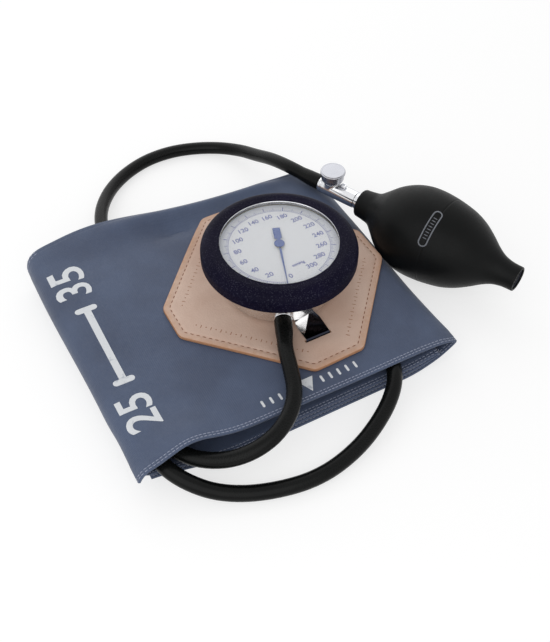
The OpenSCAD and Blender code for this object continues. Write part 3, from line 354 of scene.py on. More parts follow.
cloth_paint("cuff_nylon", (76, 89, 115), (64, 75, 99), 0.25)
thread_paint("pale_thread", (172, 178, 196), (128, 134, 156))
thread_paint("brown_thread", (150, 92, 56), (96, 54, 32))
ink_paint("tooled_leather", (176, 128, 102), (146, 98, 74))
print_paint()
leather_paint()
cut_leather_paint()
rubber_paint("hose_rubber", (10, 11, 11), (24, 25, 24), 0.28, 0.12)
rubber_paint("bulb_rubber", (12, 13, 13), (24, 25, 26), 0.42, 0.10)
rubber_paint("black_rubber", (14, 14, 15), (24, 24, 26), 0.6, 0.12)
rubber_paint("navy_rubber", (12, 10, 28), (22, 18, 44), 0.50, 0.05, 0.20)
rubber_paint("label_rubber", (118, 121, 128), (94, 97, 104), 0.5)
metal_paint("polished_chrome", (226, 227, 230), (196, 197, 202), 0.05, depth=0.001)
metal_paint("knob_chrome", (178, 179, 185), (152, 153, 160), 0.24, depth=0.002)
metal_paint("case_chrome", (222, 220, 217), (190, 187, 183), 0.2, (1.0, 1.0, 8.0))
# Dark metal: a painted reflection on the clip's tongue, and painted shade in the bulb's inlet
metal_paint("painted_dark_reflection", (48, 50, 60), (32, 34, 42), 0.06, depth=0.001)
metal_paint("steel", (176, 177, 181), (130, 131, 137), 0.26, (1.0, 6.0, 1.0))
metal_paint("brass", (206, 174, 104), (160, 126, 66), 0.28, (6.0, 1.0, 1.0))
dial_paint(GAUGE + Z_AXIS * dial_top)
ink_paint("dial_ink", (40, 48, 122), (58, 66, 136))
metal_paint("pointer_blue", (44, 66, 118), (28, 42, 84), 0.35)
glass_paint()
pile_paint("loop_fabric", (62, 70, 92), (36, 42, 60), 1300.0, 0.35)
pile_paint("hook_plastic", (58, 66, 88), (30, 36, 54), 900.0, 0.25)

# The filter inside the bulb's inlet is painted black: painted shade in the opening
NODE_PAINTS = {"inlet_filter": "black_rubber"}


def dress_cad_nodes():
    """Gives each CAD node the material named as its slot in the record, or one of its own."""
    for part in frame["record"]["subparts"]:
        materials = nodes[part["node"]].data.materials
        materials.clear()
        materials.append(PAINTS[NODE_PAINTS.get(part["node"], part["material_slot"])])


dress_cad_nodes()


# Mesh helpers

SMOOTH_ANGLE = math.radians(38)
WELD = 1e-7


def add_piece(name, points, faces, slot, paint=None, body="root", flat=None):
    """A smooth piece from points in millimetres, riding on a body. Its paint is its slot's, or another."""
    mesh = bpy.data.meshes.new(name)
    mesh.from_pydata((np.asarray(points, float) * MM).tolist(), [], faces)
    mesh.materials.append(PAINTS[paint or slot])
    if flat is not None:
        corners = np.empty(len(mesh.loops), int)
        mesh.loops.foreach_get("vertex_index", corners)
        mesh.uv_layers.new(name="flat").data.foreach_set("uv", (np.asarray(flat) * MM)[corners].ravel())
    tidy = bmesh.new()
    tidy.from_mesh(mesh)
    bmesh.ops.remove_doubles(tidy, verts=tidy.verts, dist=WELD)
    bmesh.ops.recalc_face_normals(tidy, faces=tidy.faces)
    tidy.to_mesh(mesh)
    tidy.free()
    mesh.shade_smooth()
    mesh.set_sharp_from_angle(angle=SMOOTH_ANGLE)
    piece = add_object(name, mesh)
    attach(piece, body)
    return piece


def even_shading(piece):
    """Keeps flat faces flat beside small rounded edges."""
    piece.modifiers.new("even_shading", "WEIGHTED_NORMAL").keep_sharp = True
    return piece


def grid_faces(rows, columns, wrap_rows=False, wrap_columns=False, first=0):
    """Quads over a grid whose points are numbered row by row."""
    faces = []
    for i in range(rows if wrap_rows else rows - 1):
        for j in range(columns if wrap_columns else columns - 1):
            k, m = (i + 1) % rows, (j + 1) % columns
            faces.append([first + i * columns + j, first + i * columns + m,
                          first + k * columns + m, first + k * columns + j])
    return faces


def placed(origin, axis, side):
    """Matrix whose columns are side, the third axis, axis and origin."""
    axis, side = unit(np.asarray(axis, float)), np.asarray(side, float)
    side = unit(side - axis * (side @ axis))
    place = np.eye(4)
    place[:3, :4] = np.column_stack([side, np.cross(axis, side), axis, origin])
    return place


def rounded(profile, radius, steps=4):
    """The outline with its inner corners turned into small arcs. A third number is a corner's own radius."""
    points = [np.array(p[:2], float) for p in profile]
    radii = [p[2] if len(p) > 2 else radius for p in profile]
    straight = math.radians(80)
    made = [points[0]]
    for before, corner, after, r in zip(points, points[1:], points[2:], radii[1:]):
        a, b = before - corner, after - corner
        la, lb = np.linalg.norm(a), np.linalg.norm(b)
        half = math.acos(np.clip(a @ b / (la * lb), -1, 1)) / 2
        if half > straight or r == 0:
            made.append(corner)
            continue
        reach = min(r / math.tan(half), 0.45 * la, 0.45 * lb)
        made += corner_arc(corner + a / la * reach, corner, corner + b / lb * reach, steps)
    return made + [points[-1]]


def turned(profile, place, steps):
    """Points and faces of a turned body. Its (radius, height) profile ends on the axis or is closed."""
    closed = np.allclose(profile[0], profile[-1])
    rows = profile[:-1] if closed else profile[1:-1]
    angles = np.arange(steps) * 2 * math.pi / steps
    points = [(r * math.cos(a), r * math.sin(a), h) for r, h in rows for a in angles]
    faces = grid_faces(len(rows), steps, wrap_rows=closed, wrap_columns=True)
    if not closed:
        last = (len(rows) - 1) * steps
        points += [(0, 0, profile[0][1]), (0, 0, profile[-1][1])]
        tip = len(points) - 2
        faces += [[tip, (k + 1) % steps, k] for k in range(steps)]
        faces += [[tip + 1, last + k, last + (k + 1) % steps] for k in range(steps)]
    points = np.asarray(points, float)
    return points @ place[:3, :3].T + place[:3, 3], faces


def add_turned(name, profile, place, slot, steps, paint=None, body="root"):
    points, faces = turned(profile, place, steps)
    return even_shading(add_piece(name, points, faces, slot, paint, body))


def show_turned(node, name, profile, corner, place, slot, steps, arc=4, paint=None, body="root"):
    """A turned piece with rounded corners, shown in the place of a CAD node."""
    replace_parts(add_turned(name, rounded(profile, corner, arc), place, slot, steps, paint, body), node)


def smooth_path(route, spacing):
    """Points a set distance apart on a smooth curve through the route's points."""
    route = np.asarray(route, float)
    ends = np.vstack([2 * route[0] - route[1], route, 2 * route[-1] - route[-2]])
    fine = []
    for a, b, c, d in zip(ends, ends[1:], ends[2:], ends[3:]):
        for t in np.linspace(0, 1, 20, endpoint=False):
            fine.append((2 * b + (c - a) * t + (2 * a - 5 * b + 4 * c - d) * t ** 2
                         + (3 * b - a - 3 * c + d) * t ** 3) / 2)
    fine = np.array(fine + [route[-1]])
    along = distance_along(fine)
    wanted = np.linspace(0, along[-1], int(round(along[-1] / spacing)) + 1)
    return np.column_stack([np.interp(wanted, along, fine[:, k]) for k in range(3)])


def path_frames(path):
    """Two unit vectors across the path at each point, carried along without twist."""
    headings = np.gradient(path, axis=0)
    headings /= np.linalg.norm(headings, axis=1)[:, None]
    side = unit(np.cross(headings[0], Z_AXIS))
    sides = []
    for heading in headings:
        side = unit(side - heading * (side @ heading))
        sides.append(side)
    sides = np.array(sides)
    return sides, np.cross(sides, headings)


TUBE_SIDES = 28


def add_tube(name, path, radii, slot):
    """A solid round tube with flat, closed ends."""
    across, up = path_frames(path)
    cap = [0.0, 0.75, 0.94]
    rows = [(0, r) for r in cap] + [(i, 1.0) for i in range(len(path))]
    rows += [(len(path) - 1, r) for r in cap[::-1]]
    angles = np.arange(TUBE_SIDES) * 2 * math.pi / TUBE_SIDES
    points = [path[i] + radii[i] * share * (math.cos(a) * across[i] + math.sin(a) * up[i])
              for i, share in rows for a in angles]
    return add_piece(name, points, grid_faces(len(rows), TUBE_SIDES, wrap_columns=True), slot)


def add_beads(name, beads, slot, paint):
    """Small rounded threads or studs, each a centre, two half axes in the surface and a half height."""
    sides, rings = 8, 5
    points, faces = [], []
    for centre, along, across, rise in beads:
        first = len(points)
        for i in range(rings):
            tilt = math.pi * (i + 0.5) / rings
            for k in range(sides):
                turn = 2 * math.pi * k / sides
                points.append(centre - along * math.cos(tilt)
                              + math.sin(tilt) * (across * math.cos(turn) + rise * math.sin(turn)))
        faces += grid_faces(rings, sides, wrap_columns=True, first=first)
        faces.append([first + k for k in range(sides)])
        faces.append([first + (rings - 1) * sides + k for k in reversed(range(sides))])
    add_piece(name, points, faces, slot, paint)


def combine(piece, other, operation):
    """Cuts the other piece out of the first or joins it to the first, and drops the other."""
    change = piece.modifiers.new(operation.lower(), "BOOLEAN")
    change.operation = operation
    change.solver = "EXACT"
    change.object = other
    piece.modifiers.move(len(piece.modifiers) - 1, 0)
    bpy.context.view_layer.update()
    shading = [m for m in piece.modifiers if m.type == "WEIGHTED_NORMAL"]
    for modifier in shading:
        piece.modifiers.remove(modifier)
    graph = bpy.context.evaluated_depsgraph_get()
    mesh = bpy.data.meshes.new_from_object(piece.evaluated_get(graph))
    piece.modifiers.clear()
    piece.data = mesh
    mesh.set_sharp_from_angle(angle=SMOOTH_ANGLE)
    bpy.data.objects.remove(other)
    if shading:
        even_shading(piece)


# Hoses: the routes repeat the part's own

GAUGE_ROUTE = [
    [10.5, -30.7, 25], [7, -38.4, 25], [3.6, -45.7, 24.8], [0.6, -55.5, 23.8], [-2.6, -64.5, 22.6],
    [-7.4, -71.4, 21.4], [-14, -76.6, 20], [-21.8, -79.6, 18.2], [-30.4, -80.1, 16.2],
    [-38.8, -78.1, 14.2], [-46.2, -73.8, 12.4], [-52.4, -68, 11.2], [-57.2, -60.8, 10.6],
]
BULB_ROUTE = [
    [75.4, 46.7, 23], [71.5, 55.7, 23], [67, 68, 22.6], [64.5, 81.5, 18.8], [62.5, 96, 12.5],
    [59, 110, 7.5], [51, 121.5, 4.5], [39, 129, 3.5], [25, 132.5, 3.5], [10.5, 132, 3.5],
    [-3, 127.5, 3.5], [-15, 119.5, 4], [-24.5, 108.5, 5.5], [-31.5, 95.5, 7.5], [-35.5, 81.5, 9],
    [-36.2, 67.5, 10], [-31.5, 54, 10.5], [-22.5, 42.5, 11], [-13, 31, 11.5], [-3.5, 19.5, 12],
    [6, 8, 12], [15.5, -3.5, 12], [25, -15, 12], [34.5, -26.5, 12], [43, -38, 12],
    [48.2, -49.5, 12], [48.4, -62, 12], [43.2, -74, 11.8], [33, -83.6, 9.6], [18, -91.4, 6.4],
    [3, -95.5, 4.2], [-11, -96.5, 3.5], [-25, -94.3, 3.5], [-38.5, -89.5, 3.5], [-49.6, -83.4, 5],
    [-58, -76, 7.8], [-63.4, -67.6, 10], [-65.6, -58.4, 10.6],
]
HOSE_RADIUS = 3.5
HOSE_SPACING = 2.5
BARB_LENGTH = 9.0
BARB_SWELL = 0.55
SWELL_START, SWELL_END = BARB_LENGTH - 3, BARB_LENGTH + 4
RIPPLE, RIPPLE_WAVE = 0.08, 1.4


def add_hose(name, node, route):
    """A hose that swells over the barb at its start, with a fine ripple there."""
    path = smooth_path(route, HOSE_SPACING)
    along = distance_along(path)
    swell = BARB_SWELL * (1 - ease(along, SWELL_START, SWELL_END))
    ripple = RIPPLE * np.sin(along / RIPPLE_WAVE) * (along < BARB_LENGTH)
    hose = add_tube(name, path, HOSE_RADIUS + swell + ripple, "hose_rubber")
    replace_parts(hose, node)


add_hose("gauge_tube", "gauge_hose", GAUGE_ROUTE)
add_hose("bulb_tube", "bulb_hose", BULB_ROUTE)


# Cuff cloth: one long sheet, folded as in the part and then eased into soft shapes

cuff_low, cuff_high = box_of("cuff_cover")
loop_low, loop_high = box_of("loop_panel")
hook_high = box_of("hook_panel")[1]
CUFF_LENGTH = 540.0
CUFF_WIDTH = cuff_high[1] - cuff_low[1]
SPACE = loop_low[2]
CLOTH = 2.0
PLY_GAP = 0.1
FOLD_SETBACK = 0.5
MID_D = SPACE / 2
MID_B = loop_high[2] + PLY_GAP + SPACE / 2
MID_A = hook_high[2] + PLY_GAP + SPACE / 2
MID_C = cuff_high[2] - SPACE / 2
OUTER_R = (MID_C - MID_D) / 2
LEFT_R = (MID_C - MID_B) / 2
INNER_R = (MID_A - MID_B) / 2
OUTER_X = cuff_high[0] - OUTER_R - SPACE / 2
LEFT_X = cuff_low[0] + LEFT_R + SPACE / 2
INNER_X = OUTER_X - FOLD_SETBACK
START_X = loop_low[0]
D_RUN = OUTER_X - START_X
C_START = D_RUN + math.pi * OUTER_R
C_END = C_START + OUTER_X - LEFT_X
B_START = C_END + math.pi * LEFT_R
A_START = B_START + INNER_X - LEFT_X + math.pi * INNER_R


def centre_line():
    """Dense points of the folded sheet's middle line: distance, x, z and the normal's x and z."""
    rows = []

    def run(x0, x1, z, up):
        for x in np.linspace(x0, x1, max(2, int(abs(x1 - x0)))):
            rows.append((x, z, 0.0, up))

    def turn(x, z, r, start):
        for a in np.radians(np.linspace(start, start + 180, 48)):
            rows.append((x + r * math.cos(a), z + r * math.sin(a), -math.cos(a), -math.sin(a)))

    run(START_X, OUTER_X, MID_D, 1.0)
    turn(OUTER_X, (MID_C + MID_D) / 2, OUTER_R, -90)
    run(OUTER_X, LEFT_X, MID_C, -1.0)
    turn(LEFT_X, (MID_C + MID_B) / 2, LEFT_R, 90)
    run(LEFT_X, INNER_X, MID_B, 1.0)
    turn(INNER_X, (MID_A + MID_B) / 2, INNER_R, -90)
    run(INNER_X, INNER_X - (CUFF_LENGTH - A_START), MID_A, -1.0)
    rows = np.array(rows)
    return distance_along(rows[:, :2]), rows


LINE_AT, LINE = centre_line()

# Heights and shifts of the cloth's soft forms
BACK_PUSH, BACK_DRAW = 9.2, 3.0
RIDGE, VALLEY, FRONT_ARCH, CORNER_DROP = 4.0, 3.6, 3.6, 1.6
PINCH_START, PINCH_LENGTH, PINCH_Z = 52, 29, 13.6
RIGHT_SHIFT, RIGHT_BACK_SHIFT = 4.2, 2.5
TUCK, TUCK_SHIFT = 6.5, 3.0
LEFT_SHIFT, LEFT_DRAW = 2.2, 0.8


def back_shift(x):
    """How far the top sheet's back edge is pushed out over the hose and drawn in beside it."""
    return BACK_PUSH * bell(x, -44, 32) * ease(x, -92, -66) - BACK_DRAW * ease(x, -5, 45)


def relief(x, y):
    """Height of the soft swells and dips of the top sheet."""
    clear_of_case = ease(np.hypot(x - GAUGE[0], y - GAUGE[1]), 34, 52)
    swell = 0.45 * np.sin((0.6 * x + 0.8 * y) / 15 + 1.3) + 0.35 * np.sin((0.9 * x - 0.45 * y) / 21 + 0.4)
    swell += 0.25 * np.sin((x + 0.2 * y) / 9.0 + 2.0) * ease(y, 10, 60)
    back = ease(y, 45, 62)
    ridge = RIDGE * bell(y, 64.5, 4.2) * ease(x, -48, -12) * (1 - ease(x, 44, 68))
    lifted_edge = 0.4 * back_shift(x) * ease(y, 50, 70)
    valley = -VALLEY * bell(y, 56.0, 5.0) * bell(x, -5, 14)
    front_arch = FRONT_ARCH * bell(x, -52, 14) * ease(-y, 42, 70)
    corner_drop = -CORNER_DROP * ease(-x, 60, 78) * ease(-y, 40, 60) * (1 - ease(-y, 62, 72))
    return clear_of_case * swell * (1 - 0.6 * back) + ridge + lifted_edge + valley + front_arch + corner_drop


def settle(points):
    """Eases points of the folded sheets from the part's flat shape into that of worn cloth."""
    x, y, z = np.asarray(points, float).T
    upper = ease(z, 7, 16.5)
    z = z + relief(x, y) * upper
    y = y + (0.56 * back_shift(x) * ease(y, 40, 70) + 2.2 * bell(x, -51, 14) * ease(-y, 45, 70)) * upper
    # The front right corner is pinched to a point and lifts off the table
    reach = np.clip((x - PINCH_START) / PINCH_LENGTH, 0, 1) ** 2
    z = z + reach * ease(-y, 28, 70) * (PINCH_Z - z)
    x = x + (RIGHT_SHIFT + RIGHT_BACK_SHIFT * ease(y, -40, 20)) * reach
    # At the front left the lower sheets lie further back than the top one
    tuck = ease(-x, 30, 74) * ease(-y, 45, 70) * (1 - ease(z, 5.5, 13))
    y = y + TUCK * tuck
    x = x + TUCK_SHIFT * tuck * ease(-x, 60, 78)
    # The left edge stands out towards the back and is drawn in a little between its corners
    x = x - LEFT_SHIFT * ease(-x, 60, 78) * ease(y, -30, 50)
    x = x + LEFT_DRAW * ease(-x, 66, 78) * bell(y, -48, 9)
    return np.column_stack([x, y, z])


HEM_THICKNESS = 0.86
STITCH_INSET = 1.0
STITCH_GAP = 1.3
STITCH_PITCH, STITCH_LENGTH, STITCH_WIDTH, STITCH_RISE = 1.8, 1.5, 0.42, 0.17
STITCH_GROOVE, GROOVE_WIDTH = 0.20, 0.5


def thickness_at(inset):
    """Thickness of the cloth by its distance from the nearest edge: round hem, sewn groove, fuller middle."""
    body = HEM_THICKNESS + (1 - HEM_THICKNESS) * ease(inset, 4.0, 8)
    rows = [bell(inset, at, GROOVE_WIDTH) for at in (STITCH_INSET, STITCH_INSET + STITCH_GAP)]
    return CLOTH * round_edge(inset) * (body - STITCH_GROOVE * sum(rows))


def cloth_at(along, across, side, offset=0.0, thickness=None):
    """Settled points on a face of the cloth: side -1 is its outside, 1 its inside and 0 the middle."""
    along, across = np.broadcast_arrays(np.asarray(along, float), np.asarray(across, float))
    x, z, nx, nz = [np.interp(along, LINE_AT, LINE[:, k]) for k in range(4)]
    inset = np.minimum(np.minimum(along, CUFF_LENGTH - along), CUFF_WIDTH / 2 - np.abs(across))
    half = thickness_at(inset) / 2 if thickness is None else thickness
    shift = side * (half + offset)
    points = np.stack([x + nx * shift, across, z + nz * shift], axis=-1).reshape(-1, 3)
    return settle(points).reshape(along.shape + (3,))


EDGE_STEPS = np.array([0, 0.05, 0.18, 0.4, 0.7, 1.1, 1.5, 1.9, 2.3, 2.7, 3.1, 3.5, 4.1, 5.0, 6.2, 7.6, 9.4])
EDGE_BAND = 12


def lines_between(start, end, step):
    """Grid lines from start to end, close together near both."""
    first, last = start + EDGE_BAND, end - EDGE_BAND
    inner = np.linspace(first, last, int((last - first) / step) + 1)
    return np.concatenate([start + EDGE_STEPS, inner, (end - EDGE_STEPS)[::-1]])


def add_two_faced(name, one, other, slot, flat=None):
    """A closed sheet from two grids of points that meet along their edges."""
    faces = grid_faces(*one.shape[:2])
    faces += [face[::-1] for face in grid_faces(*one.shape[:2], first=one.size // 3)]
    return add_piece(name, np.vstack([one.reshape(-1, 3), other.reshape(-1, 3)]), faces, slot, flat=flat)


def add_cloth():
    along = lines_between(0, CUFF_LENGTH, 2.0)
    across = lines_between(-CUFF_WIDTH / 2, CUFF_WIDTH / 2, 3.0)
    s, v = np.meshgrid(along, across, indexing="ij")
    flat = np.column_stack([s.ravel(), v.ravel()])
    cloth = add_two_faced("cuff_cloth", cloth_at(s, v, -1), cloth_at(s, v, 1), "cuff_nylon",
                          np.vstack([flat, flat]))
    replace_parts(cloth, "cuff_cover")


add_cloth()


def stitches(rows):
    """Beads along rows of points given as functions of the distance and of the height over the cloth."""
    beads = []
    for start, end, at in rows:
        for s in np.arange(start + STITCH_PITCH, end - STITCH_PITCH, STITCH_PITCH):
            middle, ahead = at(s), at(s + STITCH_LENGTH / 2) - at(s - STITCH_LENGTH / 2)
            outward = at(s, 0.3) - middle
            beads.append((middle, ahead / 2, unit(np.cross(ahead, outward)) * STITCH_WIDTH / 2,
                          unit(outward) * STITCH_RISE))
    return beads


def add_cuff_stitches():
    """Two rows of stitches along each long edge and one across each end, on both faces."""
    rows = []
    for side in (-1, 1):
        for edge in (-1, 1):
            # The top sheet's back edge is turned over its seam, so that no stitch shows there
            hidden_seam = side == -1 and edge == 1
            stretches = [(0, C_START), (C_END, CUFF_LENGTH)] if hidden_seam else [(0, CUFF_LENGTH)]
            for inset in (STITCH_INSET, STITCH_INSET + STITCH_GAP):
                across = edge * (CUFF_WIDTH / 2 - inset)
                for start, end in stretches:
                    rows.append((start, end, lambda s, over=0.0, v=across, f=side: cloth_at(s, v, f, over)))
        for end in (STITCH_INSET, CUFF_LENGTH - STITCH_INSET):
            rows.append((-CUFF_WIDTH / 2, CUFF_WIDTH / 2,
                         lambda v, over=0.0, s=end, f=side: cloth_at(s, v, f, over)))
    add_beads("cuff_stitches", stitches(rows), "cuff_nylon", "pale_thread")


add_cuff_stitches()


def bar(x, y, angle, length, width):
    """Outline of a bar with round ends, from (x, y) along the angle."""
    half = width / 2
    c, s = math.cos(math.radians(angle)), math.sin(math.radians(angle))
    bend = np.linspace(0, math.pi, 7)
    outline = [(length - half + half * math.sin(a), -half * math.cos(a)) for a in bend]
    outline += [(half - half * math.sin(a), half * math.cos(a)) for a in bend]
    return [(x + c * u - s * v, y + s * u + c * v) for u, v in outline]


def figures(words, size, weight):
    """Points and faces of flat figures round their middle."""
    curve = bpy.data.curves.new("figures", "FONT")
    curve.body = words
    curve.size = size
    curve.align_x = curve.align_y = "CENTER"
    curve.offset = weight
    curve.resolution_u = 4
    made = add_object("figures", curve)
    bpy.context.view_layer.update()
    mesh = bpy.data.meshes.new_from_object(made.evaluated_get(bpy.context.evaluated_depsgraph_get()))
    points = np.array([v.co[:2] for v in mesh.vertices])
    faces = [list(p.vertices) for p in mesh.polygons]
    bpy.data.objects.remove(made)
    return points, faces


PRINT_CELL = 2.5
PRINT_OVER, PRINT_UNDER = 0.1, -0.12


def add_print(name, outlines, words=()):
    """Ink on the top sheet: flat shapes cut into small cells, so that they follow the cloth."""
    flat = bmesh.new()
    for outline in outlines:
        flat.faces.new([flat.verts.new((x, y, 0)) for x, y in outline])
    for text, x, y in words:
        points, faces = figures(text, FIGURE_SIZE, FIGURE_WEIGHT)
        # The figures read along +Y, with their tops towards the left fold
        corners = [flat.verts.new((x - v, y + u, 0)) for u, v in points]
        for face in faces:
            flat.faces.new([corners[k] for k in face])
    bmesh.ops.remove_doubles(flat, verts=flat.verts, dist=1e-4)
    for axis in (X_AXIS, Y_AXIS):
        reach = [v.co @ Vector(axis) for v in flat.verts]
        for at in np.arange(min(reach) + PRINT_CELL, max(reach), PRINT_CELL):
            everything = flat.verts[:] + flat.edges[:] + flat.faces[:]
            bmesh.ops.bisect_plane(flat, geom=everything, plane_co=axis * at, plane_no=axis)
    flat.verts.index_update()
    x, y = np.array([v.co[:2] for v in flat.verts]).T
    along = C_START + OUTER_X - x
    points = np.vstack([cloth_at(along, y, -1, over) for over in (PRINT_OVER, PRINT_UNDER)])
    count = len(x)
    faces = []
    for face in flat.faces:
        ring = [v.index for v in face.verts]
        faces += [ring, [count + k for k in reversed(ring)]]
    for edge in flat.edges:
        if edge.is_boundary:
            a, b = edge.verts[0].index, edge.verts[1].index
            faces.append([a, b, count + b, count + a])
    flat.free()
    add_piece(name, points, faces, "cuff_nylon", "white_print")


PRINT_X = -63.5
FIGURE_SIZE = 21.0
FIGURE_WEIGHT = 0.28
STROKE = 3.2
BAR_PITCH = 4.2


def add_cuff_prints():
    """A plain size range along the left fold, and a pointer mark with plain bars at the front edge."""
    range_bars = [bar(PRINT_X, -24, 90, 50, STROKE)]
    range_bars += [bar(PRINT_X - 5, y, 0, 10, STROKE) for y in (-22.4, 24.4)]
    for k, outline in enumerate(range_bars):
        add_print("cuff_range_bar_" + str(k), [outline])
    add_print("cuff_range_numbers", [], [("25", PRINT_X, -41.0), ("35", PRINT_X, 43.0)])
    shapes = [[(2.1, -59.0), (9.5, -59.0), (5.8, -66.2)]]
    for first_x, count in ((-16.5, 4), (12.5, 5)):
        shapes += [bar(first_x + BAR_PITCH * k, -64.2, 90, 3.6, 1.1) for k in range(count)]
    add_print("cuff_front_print", shapes)


add_cuff_prints()


INNER_EDGE = 0.8
INNER_STEP = 3


def add_inner_sheet(name, node, slot, start, length, half_width, thickness, rise):
    """A sheet that follows the cloth: the bladder in its pocket or a panel sewn on its face."""
    along = np.linspace(start, start + length, max(12, int(length / INNER_STEP)))
    s, v = np.meshgrid(along, np.linspace(-half_width, half_width, 40), indexing="ij")
    inset = np.minimum(np.minimum(s - along[0], along[-1] - s), half_width - np.abs(v))
    half = thickness / 2 * round_edge(inset / INNER_EDGE)
    sheet = add_two_faced(name, *[cloth_at(s, v, 1, 0, rise + way * half) for way in (-1, 1)], slot)
    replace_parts(sheet, node)


BLADDER_RIGHT = 60.0
BLADDER_END = 20.0
BLADDER_THICKNESS = 1.0
bladder_start = C_START + OUTER_X - BLADDER_RIGHT
bladder_end = B_START + BLADDER_END - LEFT_X
add_inner_sheet("bladder_sheet", "bladder", "black_rubber", bladder_start, bladder_end - bladder_start,
                box_of("bladder")[1][1], BLADDER_THICKNESS, 0.0)
PANEL_LENGTH = loop_high[0] - loop_low[0]
PANEL_THICKNESS = loop_high[2] - loop_low[2]
hook_start = B_START + INNER_X - LEFT_X - PANEL_LENGTH
for name, node, slot, start in (("loop_sheet", "loop_panel", "loop_fabric", 0.0),
                                ("hook_sheet", "hook_panel", "hook_plastic", hook_start)):
    add_inner_sheet(name, node, slot, start, PANEL_LENGTH, loop_high[1], PANEL_THICKNESS,
                    CLOTH / 2 + PANEL_THICKNESS / 2)


# Leather patch

patch_low, patch_high = box_of("leather_patch")
PATCH = (patch_low + patch_high) / 2
PATCH_T = patch_high[2] - patch_low[2]
PATCH_CORNER = 2.2
# Corners of the patch, which was cut by hand and isn't quite even
PATCH_OUTLINE = np.array([
    [76.0, -12.9], [76.0, 9.0], [33.0, 54.0], [9.6, 55.6],
    [-32.8, 6.5], [-32.8, -12.6], [11.6, -58.4], [37.0, -57.6],
])
SLIT_AT = np.array([GAUGE[0] - 1, GAUGE[1] - 38.6])
SLIT_SIZE = (13.4, 1.4)
SLIT_BULGE, SLIT_DIP = 0.9, 0.25
LEATHER_FOLLOW = 0.9
LEATHER_STITCH = 3.1
DEEPEST_RING = 15.0


def moved_in(inset):
    """The patch's corners with every side moved in by inset."""
    corners = PATCH_OUTLINE
    headings = np.roll(corners, -1, axis=0) - corners
    headings /= np.linalg.norm(headings, axis=1)[:, None]
    inward = np.column_stack([-headings[:, 1], headings[:, 0]])
    made = []
    for k, corner in enumerate(corners):
        made.append(corner + np.linalg.solve(np.array([inward[k - 1], inward[k]]), [inset, inset]))
    return np.array(made)


SIDE_POINTS = 14


def octagon(inset):
    """The moved-in outline with rounded corners and the same number of points each time."""
    corners = moved_in(inset)
    reach = max(PATCH_CORNER - inset * 0.3, 0.5)
    points = []
    for k, corner in enumerate(corners):
        before, after = corners[k - 1], corners[(k + 1) % len(corners)]
        end, following = corner + unit(after - corner) * reach, after + unit(corner - after) * reach
        points += corner_arc(corner + unit(before - corner) * reach, corner, end)
        points += [end + (following - end) * t for t in np.linspace(0, 1, SIDE_POINTS + 2)[1:-1]]
    return np.array(points)


def leather_lift(x, y):
    """How far the leather lies over its flat place: it follows the cloth and bulges before the slit."""
    bulge = SLIT_BULGE * bell(x, SLIT_AT[0], 9) * bell(y, SLIT_AT[1] - 4.5, 3.4)
    dip = -SLIT_DIP * bell(x, SLIT_AT[0], 8) * bell(y, SLIT_AT[1], 1.4)
    return relief(x, y) * LEATHER_FOLLOW + bulge + dip


def leather_point(x, y, z):
    return np.column_stack([x, y, z + leather_lift(x, y)])


def add_leather():
    """The octagon with a rounded rim, a sewn groove and the slit that takes the tongue."""
    rim = [
        (0.7, 0.0), (0.2, 0.12), (0.0, 0.45), (0.0, 1.45), (0.2, 1.85), (0.6, 1.98), (1.4, 2.0), (2.2, 1.97),
        (2.7, 1.84), (3.1, 1.76), (3.5, 1.84), (4.0, 1.97), (5.0, 2.0), (7.5, 2.0), (10.0, 2.0), (12.5, 2.0),
        (DEEPEST_RING, 2.0),
    ]
    rings = [(octagon(inset), 0.0, inset) for inset in (DEEPEST_RING, 10.0, 6.0, 3.0)]
    rings += [(octagon(inset), z / 2.0 * PATCH_T, inset) for inset, z in rim]
    inner = octagon(DEEPEST_RING)
    for tenths in range(9, 0, -1):
        share = tenths / 10
        rings.append((PATCH[:2] + (inner - PATCH[:2]) * share, PATCH_T, DEEPEST_RING + 40 * (1 - share)))
    points, flat = [], []
    for outline, z, inset in rings:
        points.append(leather_point(outline[:, 0], outline[:, 1], patch_low[2] + z))
        flat.append(np.column_stack([np.full(len(outline), inset), np.arange(len(outline))]))
    count = len(rings[0][0])
    faces = grid_faces(len(rings), count, wrap_columns=True)
    points = np.vstack(points)
    flat = np.vstack(flat)
    for z, ring in ((0.0, 0), (PATCH_T, len(rings) - 1)):
        middle = leather_point(PATCH[:1], PATCH[1:2], patch_low[2] + z)
        points = np.vstack([points, middle])
        flat = np.vstack([flat, [[44.0, 0.0]]])
        tip = len(points) - 1
        faces += [[tip, ring * count + k, ring * count + (k + 1) % count] for k in range(count)]
    leather = add_piece("leather_sheet", points, faces, "tan_leather", flat=flat)
    leather.data.materials.append(PAINTS["cut_leather"])
    for face in leather.data.polygons:
        low = face.center.z / MM - leather_lift(face.center.x / MM, face.center.y / MM) - patch_low[2]
        if abs(face.normal.z) < 0.8 and low < PATCH_T - 0.2:
            face.material_index = 1
    middle = np.append(SLIT_AT, patch_low[2] + PATCH_T / 2)
    slit = box_points(middle, (SLIT_SIZE[0], SLIT_SIZE[1], 3 * PATCH_T))
    combine(leather, add_piece("slit_cutter", *slit, None, "cut_leather"), "DIFFERENCE")
    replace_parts(leather, "leather_patch")


def box_points(middle, size):
    """Points and faces of a plain box, used only to cut with."""
    half = np.array(size) / 2
    signs = [(x, y, z) for x in (-1, 1) for y in (-1, 1) for z in (-1, 1)]
    points = [middle + half * np.array(s) for s in signs]
    return points, [[0, 1, 3, 2], [4, 6, 7, 5], [0, 4, 5, 1], [2, 3, 7, 6], [0, 2, 6, 4], [1, 5, 7, 3]]


add_leather()


def outline_walk(inset, pitch):
    """Points and headings a set distance apart along the patch's outline moved in by inset."""
    loop = octagon(inset)
    loop = np.vstack([loop, loop[:1]])
    along = distance_along(loop)
    wanted = np.arange(0, along[-1] - pitch / 2, pitch)
    step = 0.5
    spots, ahead = [np.column_stack([np.interp(at, along, loop[:, k]) for k in range(2)])
                    for at in (wanted, wanted + step)]
    return spots, (ahead - spots) / step


